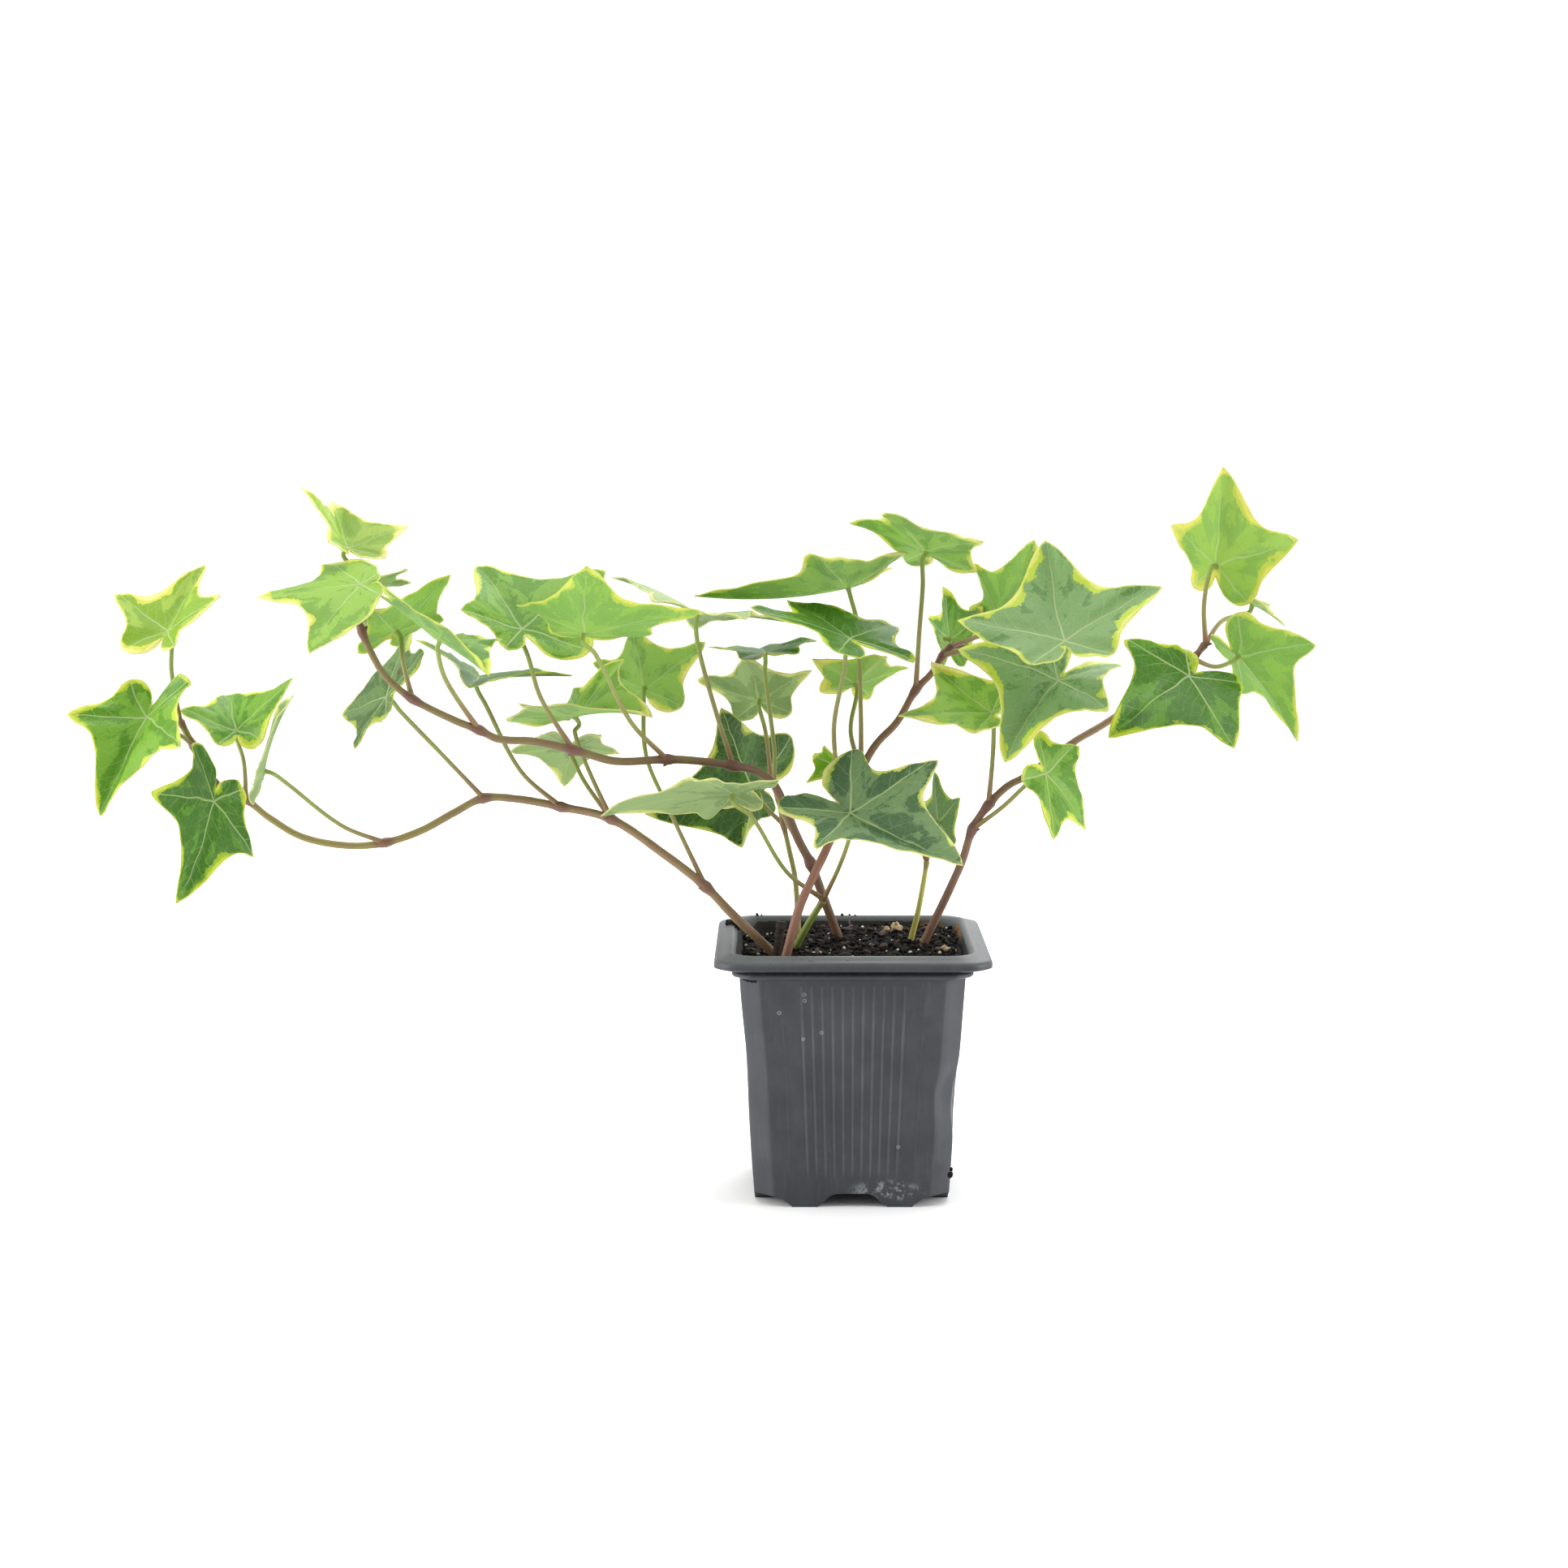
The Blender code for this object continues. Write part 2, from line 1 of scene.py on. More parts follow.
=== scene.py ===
import math
import random
from functools import cache

import bmesh
import bpy
import numpy as np
from mathutils import Euler, Matrix, Vector, geometry, noise


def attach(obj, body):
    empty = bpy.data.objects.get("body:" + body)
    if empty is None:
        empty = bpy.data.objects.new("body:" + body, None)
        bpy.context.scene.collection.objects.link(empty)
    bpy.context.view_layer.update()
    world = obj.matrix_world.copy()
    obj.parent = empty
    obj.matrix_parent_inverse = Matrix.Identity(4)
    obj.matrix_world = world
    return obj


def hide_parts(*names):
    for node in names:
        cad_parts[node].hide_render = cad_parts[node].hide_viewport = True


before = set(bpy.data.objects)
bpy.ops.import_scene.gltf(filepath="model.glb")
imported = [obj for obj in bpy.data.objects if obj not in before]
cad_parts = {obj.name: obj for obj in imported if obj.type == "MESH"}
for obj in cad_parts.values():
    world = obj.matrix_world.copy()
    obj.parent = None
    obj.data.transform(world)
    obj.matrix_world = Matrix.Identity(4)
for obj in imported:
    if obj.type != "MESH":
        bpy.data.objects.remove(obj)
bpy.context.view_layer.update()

# The looks of a variegated ivy in a square nursery pot. Lengths are in millimetres and angles in
# degrees until a piece is finished, which turns it into metres. Stems and leaves grow along the same
# joints as the solids that they stand for.
MM = 0.001

# Pot
POT_HEIGHT = 83.0
WALL = 1.2
FOOT_HALF = 31.2
NECK_HALF = 36.0
NECK_HEIGHT = 74.5
CORNER_CUT = 6.5
RIM_HALF = 43.98
DRAIN_HEIGHT = 4.4
DRAIN_START = 12.0
DRAIN_HOLE_RADIUS = 3.0
DRAIN_HOLE_PLACE = 21.0
RIB_HEIGHT = 0.28
RIB_SPACING = 0.115   # as a share of the side's half width
RIB_SECTION = ((-0.020, 0), (-0.008, 1), (0.008, 1), (0.020, 0))   # offset and rise, as shares
RIB_PLACES = [-0.8] + [k * RIB_SPACING for k in range(-5, 6)] + [0.8]
WALL_ROUNDING = 0.8
WALL_LEVELS = 34
INNER_LEVELS = 16
DRAIN_ARCH = ((12.3, 0.0), (10.8, 0.35), (9.5, 1.2), (8.3, 2.5), (7.2, 3.5), (6.0, 4.1), (4.6, DRAIN_HEIGHT))
# Profiles above the wall, as (height, half width, corner cut, rounding). The collar's and the inner
# wall's heights are from the neck up, and the rim's are from the top down.
COLLAR_PROFILE = (
    (0.15, 36.9, 6.3, 1.6), (0.4, 37.8, 6.0, 2.0), (1.0, 38.35, 6.0, 2.2), (1.7, 38.4, 6.0, 2.2),
    (2.3, 38.1, 6.0, 2.2), (2.6, 37.5, 6.0, 2.2), (2.9, 37.3, 6.0, 2.2))
RIM_PROFILE = (
    (4.8, 37.4, 6.0, 2.2), (4.6, 38.2, 5.8, 2.2), (4.55, 42.4, 5.6, 3.2), (4.45, 43.3, 5.5, 3.2),
    (4.1, RIM_HALF, 5.5, 3.2), (3.0, RIM_HALF, 5.5, 3.2), (2.2, 43.8, 5.5, 3.2), (1.75, 43.4, 5.5, 3.2),
    (1.5, 42.8, 5.5, 3.2), (1.4, 42.1, 5.4, 3.2), (0.95, 41.0, 5.3, 3.2), (0.4, 39.8, 5.2, 3.2),
    (0.15, 39.0, 5.1, 3.2), (0.2, 38.4, 5.0, 3.2), (0.5, 37.9, 5.0, 3.2), (1.3, 37.3, 5.1, 3.2),
    (4.0, 36.5, 5.6, 3.2))
INNER_PROFILE = ((1.5, 35.5, 6.0, 1.8), (-0.5, 34.75, 6.0, 1.2))
DENTS_START = 6
DENTS = (
    # where, how wide, how deep, and which way the wall is pushed
    ((31, -30, 38), 7.5, 2.0, (-0.8, 0.6)),
    ((29, -33, 45), 5.0, -0.7, (-0.5, 0.9)),
    ((33, -27, 30), 6.0, 1.0, (-1.0, 0.1)),
    ((-33, -24, 46), 16.0, 0.5, (1.0, 0.2)),
    ((34, 4, 40), 18.0, 0.7, (-1.0, 0.0)),
    ((4, 33, 42), 20.0, 0.6, (0.0, -1.0)),
)
MOUTH_HALF = 37.15   # the part of the mouth that takes painted shade and a stain: its half width, and how far its corners reach
MOUTH_SLANT = 67.6
DROP_RADIUS = 0.48
DRIED_DROPS = ((-15.4, 70.0), (-15.3, 68.0), (-23.3, 64.0), (-15.7, 55.5), (-9.9, 57.6), (14.6, 20.0))

# Soil
SOIL_LEVEL = 79.3
SOIL_HALF = 36.2
SOIL_SIDES = ((70, 0.955), (40, 0.90), (6.4, 0.82))   # height, and width as a share of the last
DEAD_STUB = ((-24.5, -17, 74), (-23.8, -17, 81), (-23.2, -16.6, 86), (-22.6, -16.4, 90))
PALE_CHUNKS = ((15.5, 17, 3.6), (12.6, 20, 2.2), (-27, -3, 2.6), (30, -12, 2.4))   # x, y and size
RIM_CRUMBS = (  # place and size
    ((-39.8, 22, 83.2), 2.0), ((-40.6, 26, 82.8), 1.6), ((-38.5, 19, 83.4), 1.9), ((-40.9, 23, 82.4), 1.3),
    ((-37.6, 16, 83.2), 1.7), ((-38.6, 27, 83.3), 1.8), ((-37.0, 12, 83.0), 1.2), ((-36.2, 20, 83.2), 1.4),
    ((31.3, -30.8, 10.5), 1.8), ((31.6, -30.2, 12.2), 1.3), ((-2, 38.6, 83.0), 0.9), ((0.5, 38.9, 83.0), 0.8),
    ((2.4, 38.4, 83.0), 0.7), ((-31, 38.4, 83.1), 1.0), ((-29.4, 38.6, 83.0), 0.7))

# Leaf: the lobes of half a leaf from the tip to the stalk, as (angle, radius) for a leaf of length 1.
HALF_LEAF = ((0, 1.0), (40, 0.60), (66, 0.92), (96, 0.50), (130, 0.55), (156, 0.40), (180, 0.10))
SMOOTH_CORNER = (False, True, False, True, True, True, False)
SPANS = (14, 12, 12, 10, 9, 8)   # rim points from each corner to the next
RINGS = 24
SMALLEST_SINUS = 2.2
RIM_HANDLE = 0.38   # length of the rim curves' handles, as a share of the chord
SIDE_DROOP = 12.0
LEAST_CURL = 0.5
MIDRIB_SOFTNESS = 1.1
BLADE_THICKNESS = 0.36
HUB_RADIUS = 0.7
VEIN_ANGLES = (0, 66, 130)
VEIN_SECTORS = (33, 98)   # where one main vein's share of the blade ends
STALK_RADIUS = 0.72
STALK_START = 3.0
STALK_STEPS = 8
BLADE_OVERLAP = 0.1
UV_SPAN = 100.0   # millimetres of flat leaf across the UV map
GLOW_TINT = (1.05, 1.12, 0.50)
LIGHT_THROUGH = 0.42

# Stem
STEM_FULLNESS = 1.1
STEM_STEPS = 10
STEM_DEPTH = 5

STEMS = {
    # name: (radius at the soil, radius at the tip), joints from the soil up
    "low_left": ((1.35, 0.95), [
        (-27, -14, 81), (-39, -16, 93), (-47, -14, 101), (-61, -8, 111), (-78, 0, 121),
        (-95, 8, 124), (-109, 12, 126), (-121, 15, 126), (-131, 16, 121), (-142, 16, 115),
        (-154, 16, 111), (-166, 16, 110), (-181, 15, 113), (-192, 13, 120), (-199, 12, 126),
        (-209, 10, 132), (-215, 8, 144), (-219, 6, 153)]),
    "high_left": ((1.4, 0.9), [
        (-4, 8, 81), (-9, 4, 95), (-13, 2, 106), (-17, 0, 114), (-21, -3, 124),
        (-25, -6, 133), (-31, -9, 138), (-38, -13, 140), (-49, -17, 142), (-59, -21, 143),
        (-75, -26, 143), (-88, -30, 147), (-100, -33, 150), (-111, -35, 151), (-117, -36, 154),
        (-124, -38, 157), (-137, -40, 164), (-145, -41, 171), (-149, -42, 178), (-152, -42, 185),
        (-154, -42, 193), (-154, -42, 199)]),
    "rear": ((0.9, 0.7), [
        (-17, 21, 81), (-18, 26, 97), (-20, 25, 107), (-22, 24, 116), (-24, 23, 125),
        (-26, 22, 131)]),
    "middle": ((1.4, 0.9), [
        (-21, -26, 81), (-17, -26, 96), (-13, -25, 105), (-8, -22, 115), (-3, -16, 126),
        (3, -8, 138), (8, -4, 146), (15, 0, 153), (21, 3, 163), (26, 5, 168),
        (30, 7, 174), (33, 8, 177)]),
    "green": ((1.2, 0.9), [
        (-17, -2, 81), (-13, -6, 89), (-9, -9, 96)]),
    "right": ((1.3, 0.9), [
        (24, -2, 81), (29, -4, 92), (32, -6, 99), (36, -8, 109), (39, -9, 119),
        (44, -10, 127), (50, -10, 133), (56, -8, 136), (72, -5, 147), (81, -3, 152),
        (95, 0, 161), (107, 3, 169), (111, 4, 173), (115, 4, 178)]),
    "stub": ((1.0, 0.7), [
        (20, 4, 81), (22, 4, 89), (24, 4, 100), (25, 4, 107)]),
}
# Bark colours: (young bark, old bark, joints)
BARK = {
    "low_left": ((128, 118, 60), (122, 96, 66), (108, 74, 58)),
    "high_left": ((114, 98, 56), (108, 80, 58), (98, 62, 52)),
    "rear": ((142, 146, 70), (132, 124, 66), (116, 88, 58)),
    "middle": ((112, 84, 58), (122, 84, 64), (98, 64, 52)),
    "green": ((124, 140, 60), (112, 126, 54), (112, 104, 58)),
    "right": ((126, 100, 66), (112, 82, 62), (98, 62, 52)),
    "stub": ((166, 166, 76), (158, 150, 64), (124, 104, 58)),
}

# Leaves, in order along their stem: (joint, bends of the stalk, foot of the blade, (heading, pitch,
# roll) of its midrib, length, widths of its (left, right, base) lobes, (left, right) folds, curl of
# the tip, finish).
LEAVES = {
    "low_left": [
        (2, [(-59, -1, 124), (-67, 9, 141)],
         (-68, 20, 162), (-104, 61, 11), 26, (1.1, 0.8, 1.0), (24, 24), 22, "light"),
        (4, [(-86, 3, 138), (-90, 5, 149)],
         (-90, 6, 154), (-49, 14, 24), 39, (0.7, 1.05, 1.0), (28, 37), 23, "light"),
        (4, [(-87, 8, 132), (-91, 12, 139)],
         (-92, 14, 143), (102, -32, 1), 23, (1.0, 0.95, 1.0), (12, 12), 16, "pale"),
        (5, [(-108, 7, 136), (-119, 5, 158)],
         (-121, 4, 167), (-89, 0, -17), 34, (1.15, 0.8, 1.0), (24, 23), -2, "deep"),
        (7, [(-134, 2, 143), (-145, -8, 157)],
         (-149, -12, 162), (126, -13, -52), 33, (0.65, 1.05, 1.05), (2, 4), 10, "spotted"),
        (10, [(-167, 7, 118), (-183, -6, 134)],
         (-189, -10, 138), (-62, 60, 57), 33, (0.6, 0.65, 1.0), (14, 4), 21, "pale"),
        (14, [(-200, 15, 138)],
         (-203, 18, 148), (109, 43, -7), 26, (0.85, 1.1, 0.8), (22, 31), 38, "mid"),
        (15, [(-208, 2, 130)],
         (-206, -6, 128), (-100, -54, -72), 38, (0.7, 0.95, 1.05), (15, 5), 19, "deep"),
        (16, [(-218, 3, 148)],
         (-227, -6, 155), (-122, -50, -11), 37, (1.05, 0.75, 0.95), (32, 31), 6, "mid"),
        (17, [(-221, 5, 169)],
         (-222, 4, 182), (62, 46, -3), 29, (1.0, 0.9, 1.0), (21, 21), -1, "young"),
    ],
    "high_left": [
        (2, [(-24, 3, 127), (-25, 4, 144), (-28, 6, 168)],
         (-28, 6, 175), (100, 8, -5), 23, (0.95, 1.0, 1.0), (9, 9), 20, "deep"),
        (7, [(-44, -14, 159), (-49, -15, 178)],
         (-49, -16, 189), (92, -3, 15), 36, (1.0, 1.0, 1.0), (15, 15), 17, "pale"),
        (9, [(-70, -30, 156), (-80, -42, 178)],
         (-83, -46, 185), (-88, 21, -11), 40, (1.1, 0.65, 1.05), (20, 8), -26, "bright"),
        (11, [(-98, -29, 163), (-102, -28, 176)],
         (-104, -28, 185), (125, 41, -10), 37, (0.6, 1.2, 0.95), (12, 10), 22, "mid"),
        (14, [(-126, -44, 170)],
         (-127, -50, 183), (-59, -10, -13), 38, (0.55, 1.1, 1.0), (21, 31), 9, "mid"),
        (16, [(-141, -31, 175)],
         (-144, -23, 184), (-28, 43, -5), 29, (0.65, 0.95, 1.0), (0, 0), 5, "bright"),
        (19, [(-153, -24, 182)],
         (-152, -14, 184), (176, 13, 19), 13, (1.0, 1.0, 1.0), (9, 14), 15, "pale"),
        (20, [(-150, -59, 199)],
         (-149, -67, 201), (-178, -5, -23), 32, (1.25, 1.05, 0.5), (-4, -4), 8, "light"),
        (20, [(-154, -26, 193)],
         (-157, -14, 197), (-31, 16, 0), 22, (0.95, 0.75, 1.0), (0, 14), -1, "pale"),
        (21, [(-155, -42, 205)],
         (-156, -42, 211), (110, 26, 22), 28, (0.95, 0.9, 1.0), (32, 33), -10, "young"),
    ],
    "rear": [
        # this first leaf takes the shade finish, whose darker greens are painted shade
        (3, [(-29, 39, 121)],
         (-32, 46, 124), (-146, -7, 86), 43, (1.0, 0.5, 1.0), (-10, -5), -12, "shade"),
        (5, [(-28, 27, 147)],
         (-30, 30, 157), (-107, 52, 11), 24, (0.95, 1.0, 1.0), (14, 14), 18, "pale"),
    ],
    "middle": [
        (4, [(-4, -14, 129), (-2, -6, 135)],
         (-5, -8, 140), (139, 9, -80), 13, (1.0, 0.65, 1.0), (44, 47), 20, "bright"),
        (4, [(-6, -21, 152), (-3, -25, 171)],
         (-1, -28, 182), (128, 22, 10), 33, (1.15, 1.1, 1.1), (4, 10), 8, "deep"),
        (5, [(3, -3, 156), (2, 5, 184)],
         (-1, 8, 196), (-168, -12, 16), 51, (0.8, 0.85, 1.15), (10, 19), -24, "light"),
        (5, [(0, 8, 149)],
         (2, 26, 163), (-60, 38, -8), 23, (0.9, 1.0, 1.0), (15, 15), 19, "lime"),
        (8, [(22, 2, 182), (23, 1, 197)],
         (24, 0, 208), (-120, 34, -8), 32, (1.0, 0.95, 1.0), (8, 8), 14, "light"),
        (10, [(43, -6, 177), (60, -25, 169)],
         (64, -30, 169), (-129, -27, -19), 35, (0.95, 1.05, 1.15), (24, 32), 36, "grey"),
        (10, [(32, 13, 175)],
         (33, 22, 178), (99, 82, 109), 18, (1.3, 1.25, 1.0), (14, 15), 9, "mid"),
        (11, [(41, 3, 177)],
         (49, 2, 185), (-77, 37, -19), 38, (0.7, 0.65, 1.3), (38, 48), -27, "bright"),
        (11, [(46, -16, 183), (60, -39, 182)],
         (64, -48, 183), (99, 39, -2), 39, (0.95, 1.0, 0.8), (-2, 19), -26, "grey"),
    ],
    "green": [
        (2, [(-4, -21, 109), (-1, -31, 120)],
         (-1, -38, 128), (-44, -17, 25), 50, (0.7, 0.65, 1.3), (26, 21), -8, "blue"),
        (2, [(-21, -15, 106), (-32, -24, 125)],
         (-38, -28, 133), (-178, -1, 29), 43, (0.7, 0.45, 1.25), (-4, -8), 19, "pale"),
    ],
    "stub": [
        (3, [(25, 4, 113)],
         (29, 6, 119), (122, 81, 80), 17, (1.2, 1.25, 1.0), (9, 8), 5, "deep"),
    ],
    "right": [
        (4, [(48, -16, 127), (56, -23, 136)],
         (61, -26, 139), (32, -43, 60), 28, (0.95, 0.9, 1.0), (7, 7), 13, "mid"),
        (5, [(45, -14, 144)],
         (44, -18, 158), (125, 16, -33), 31, (1.15, 0.45, 0.95), (28, 16), -34, "light"),
        (11, [(107, -5, 170)],
         (107, -16, 169), (-140, -21, -40), 38, (1.0, 0.7, 0.8), (14, 14), 23, "deep"),
        (12, [(117, -3, 171)],
         (124, -8, 175), (-9, -47, -39), 34, (0.8, 0.9, 0.95), (24, 24), 23, "bright"),
        (13, [(114, 2, 191)],
         (118, 4, 203), (-75, 80, -56), 34, (1.0, 0.8, 0.9), (14, 18), 5, "lime"),
        (13, [(121, 9, 185)],
         (132, 16, 190), (-13, -24, -6), 13, (1.0, 1.0, 1.0), (14, 17), 19, "pale"),
    ],
}

# Leaf finishes: colours of the deep and the grey green zones, the inner margin and the pale edge, then
# the margin's width and how much of the blade is in the grey green zone.
LEAF_FINISHES = {
    "blue": ((78, 112, 72), (120, 148, 102), (190, 204, 94), (224, 220, 146), 0.8, 0.50),
    "grey": ((104, 142, 80), (130, 164, 104), (190, 208, 68), (218, 218, 118), 1.3, 0.66),
    "mid": ((98, 150, 30), (128, 172, 56), (188, 206, 50), (218, 220, 102), 1.0, 0.50),
    "deep": ((72, 124, 24), (98, 148, 38), (160, 186, 26), (202, 210, 68), 1.0, 0.35),
    # painted shade: a darker copy of the greens, for a leaf that hangs in shade
    "shade": ((58, 98, 28), (78, 120, 40), (150, 172, 46), (206, 204, 116), 1.5, 0.40),
    "bright": ((124, 174, 16), (146, 188, 34), (192, 208, 38), (220, 222, 94), 1.1, 0.45),
    "light": ((124, 168, 52), (152, 188, 74), (202, 210, 76), (230, 226, 142), 1.1, 0.55),
    "pale": ((130, 156, 94), (160, 182, 126), (204, 208, 112), (230, 224, 160), 1.0, 0.60),
    "young": ((142, 176, 52), (168, 192, 80), (212, 214, 92), (236, 230, 156), 1.7, 0.50),
    "spotted": ((80, 116, 48), (106, 140, 74), (174, 192, 58), (202, 204, 82), 1.0, 0.55),
    "lime": ((134, 176, 14), (156, 190, 30), (200, 208, 50), (226, 220, 96), 1.5, 0.50),
}
# Leaves that hang turned over, with the paler face away from the light
TURNED_OVER = ("leaf_rear_1", "leaf_middle_7")

# Setting
FLOOR_HALF = 1300
CAMERA_DIP = 6.98
LAMPS = (
    # name, place, aim (in metres), width in metres and power
    ("left_light", (-1.3, -0.20, 0.45), (0, 0, 0.05), 0.8, 15),
    ("right_light", (1.3, -0.25, 0.45), (0, 0, 0.05), 0.8, 13),
    ("top_light", (-0.1, 0.1, 1.9), (-0.05, 0.1, 0), 2.0, 26),
    ("back_light", (0.3, 1.2, 1.1), (-0.05, 0, 0.15), 1.2, 10),
)


# ---------------------------------------------------------------- shader helpers

class Field:
    """A value, vector or colour that changes over a surface. Arithmetic on it adds maths nodes."""

    def __init__(self, socket):
        self.socket = socket

    def __add__(self, other):
        return calc("ADD", self, other)

    def __sub__(self, other):
        return calc("SUBTRACT", self, other)

    def __rsub__(self, other):
        return calc("SUBTRACT", other, self)

    def __mul__(self, other):
        return calc("MULTIPLY", self, other)

    def __truediv__(self, other):
        return calc("DIVIDE", self, other)

    def __lt__(self, other):
        return calc("LESS_THAN", self, other)

    def __gt__(self, other):
        return calc("GREATER_THAN", self, other)

    def __abs__(self):
        return calc("ABSOLUTE", self)


def plug(sockets, values):
    """Fill sockets by name or number: a field is linked, anything else is the socket's own value."""
    for key, value in values.items():
        if isinstance(value, Field):
            value.socket.id_data.links.new(value.socket, sockets[key])
        else:
            sockets[key].default_value = value


def tree_of(*values):
    """The node tree of the first field among the values."""
    return next(value.socket.id_data for value in values if isinstance(value, Field))


def add_node(tree, kind, inputs=None, **settings):
    node = tree.nodes.new(kind)
    for key, value in settings.items():
        setattr(node, key, value)
    plug(node.inputs, inputs or {})
    return node


def calc(operation, *values):
    """The result of an operation on numbers, or on vectors where one of the values is a vector."""
    vectors = any(isinstance(value, tuple) or isinstance(value, Field) and value.socket.type == "VECTOR"
                  for value in values)
    kind = "ShaderNodeVectorMath" if vectors else "ShaderNodeMath"
    return Field(add_node(tree_of(*values), kind, dict(enumerate(values)), operation=operation).outputs[0])


def distance(point, place):
    node = add_node(tree_of(point), "ShaderNodeVectorMath", {0: point, 1: place}, operation="DISTANCE")
    return Field(node.outputs["Value"])


def ramp(value, start, end):
    """A mask that rises smoothly from 0 at `start` to 1 at `end`."""
    inputs = {"Value": value, "From Min": start, "From Max": end}
    node = add_node(tree_of(value), "ShaderNodeMapRange", inputs, interpolation_type="SMOOTHSTEP")
    return Field(node.outputs["Result"])


def linear(colour):
    """A display colour, 0 to 255, as the linear colour that shaders take."""
    shares = [value / 255 for value in colour]
    return (*[s / 12.92 if s <= 0.04045 else ((s + 0.055) / 1.055) ** 2.4 for s in shares], 1)


def tint(mask, under, over):
    """The colour `under` with `over` laid on it where the mask is 1. Tuples are display colours."""
    under, over = (linear(colour) if isinstance(colour, tuple) else colour for colour in (under, over))
    node = add_node(tree_of(mask, under, over), "ShaderNodeMix", {0: mask, 6: under, 7: over},
                    data_type="RGBA")
    return Field(node.outputs[2])


def mottle(vector, scale, detail=2.0, rough=0.5, output="Fac"):
    inputs = {"Vector": vector, "Scale": scale, "Detail": detail, "Roughness": rough}
    return Field(add_node(tree_of(vector), "ShaderNodeTexNoise", inputs).outputs[output])


def cells(vector, scale, feature="F1"):
    """The distance to the middle of the nearest cell, or to the edge between two."""
    inputs = {"Vector": vector, "Scale": scale}
    node = add_node(tree_of(vector), "ShaderNodeTexVoronoi", inputs, feature=feature)
    return Field(node.outputs["Distance"])


def split(vector):
    """The x, y and z of a vector."""
    node = add_node(tree_of(vector), "ShaderNodeSeparateXYZ", {0: vector})
    return [Field(output) for output in node.outputs]


def combine(*values):
    """A vector from its x, y and z."""
    return Field(add_node(tree_of(*values), "ShaderNodeCombineXYZ", dict(enumerate(values))).outputs[0])


def attribute(tree, name):
    return Field(add_node(tree, "ShaderNodeAttribute", attribute_name=name).outputs["Fac"])


def object_point(tree):
    """Object coordinates in millimetres."""
    return Field(add_node(tree, "ShaderNodeTexCoord").outputs["Object"]) * (1 / MM, 1 / MM, 1 / MM)


def bump(height, distance, strength):
    """The normals of a surface that rises by `distance` millimetres where the height is 1."""
    inputs = {"Height": height, "Distance": distance * MM, "Strength": strength}
    return Field(add_node(tree_of(height), "ShaderNodeBump", inputs).outputs["Normal"])


def new_group(name, inputs, outputs):
    """A shader node group to fill: the group, its inputs as fields, and its output sockets."""
    group = bpy.data.node_groups.new(name, "ShaderNodeTree")
    for labels, way in ((inputs, "INPUT"), (outputs, "OUTPUT")):
        for label in labels:
            kind = "NodeSocketVector" if label == "Point" else "NodeSocketFloat"
            group.interface.new_socket(label, in_out=way, socket_type=kind)
    given = {socket.name: Field(socket) for socket in group.nodes.new("NodeGroupInput").outputs}
    return group, given, group.nodes.new("NodeGroupOutput").inputs


def use_group(group, inputs):
    """Place a group in the node tree of its inputs, and give its outputs as fields."""
    node = add_node(tree_of(*inputs.values()), "ShaderNodeGroup", inputs, node_tree=group)
    return {socket.name: Field(socket) for socket in node.outputs}


def new_material(name):
    """A material: (the material, its node tree, its shader's input sockets)."""
    material = bpy.data.materials.new(name)
    material.use_nodes = True
    return material, material.node_tree, material.node_tree.nodes["Principled BSDF"].inputs


# ---------------------------------------------------------------- leaf and bark materials

@cache
def vein_group():
    """Veins of a flat leaf: five main veins, branches on both sides of each, and a fine net."""
    group, given, result = new_group("leaf_veins", ("Point", "Length", "Seed"),
                                     ("Main", "Branches", "Net", "Along", "Off"))
    place = given["Point"] + combine(given["Seed"], given["Seed"])
    sway = mottle(place, 0.09, 1, output="Color") - (0.5, 0.5, 0.5)
    swayed = given["Point"] + sway * (2.6, 2.6, 0)
    x, y, _ = split(swayed)
    side = abs(x)
    around = calc("ARCTAN2", side, y)
    past_tip, past_side = (around > math.radians(angle) for angle in VEIN_SECTORS)
    tip, side_vein, foot_vein = (math.radians(angle) for angle in VEIN_ANGLES)
    angle = past_tip * (side_vein - tip) + past_side * (foot_vein - side_vein)
    sine, cosine = calc("SINE", angle), calc("COSINE", angle)
    along = side * sine + y * cosine
    off = side * cosine - y * sine
    away = abs(off)
    width = calc("MAXIMUM", along / given["Length"] * -0.34 + 0.42, 0.10)
    spacing = given["Length"] * 0.145
    turn = (along - calc("POWER", away, 1.12) * 0.85) / spacing + (off > 0.0) * 0.5
    beside = abs(calc("FRACT", turn) - 0.5) * spacing
    reach = given["Length"] * 0.24
    plug(result, {"Main": ramp(away, width * 1.25, width * 0.4),
                  "Branches": ramp(beside, 0.26, 0.05) * ramp(away, reach, reach * 0.2),
                  "Net": ramp(cells(swayed, 0.42, "DISTANCE_TO_EDGE"), 0.09, 0.01),
                  "Along": along, "Off": off})
    return group


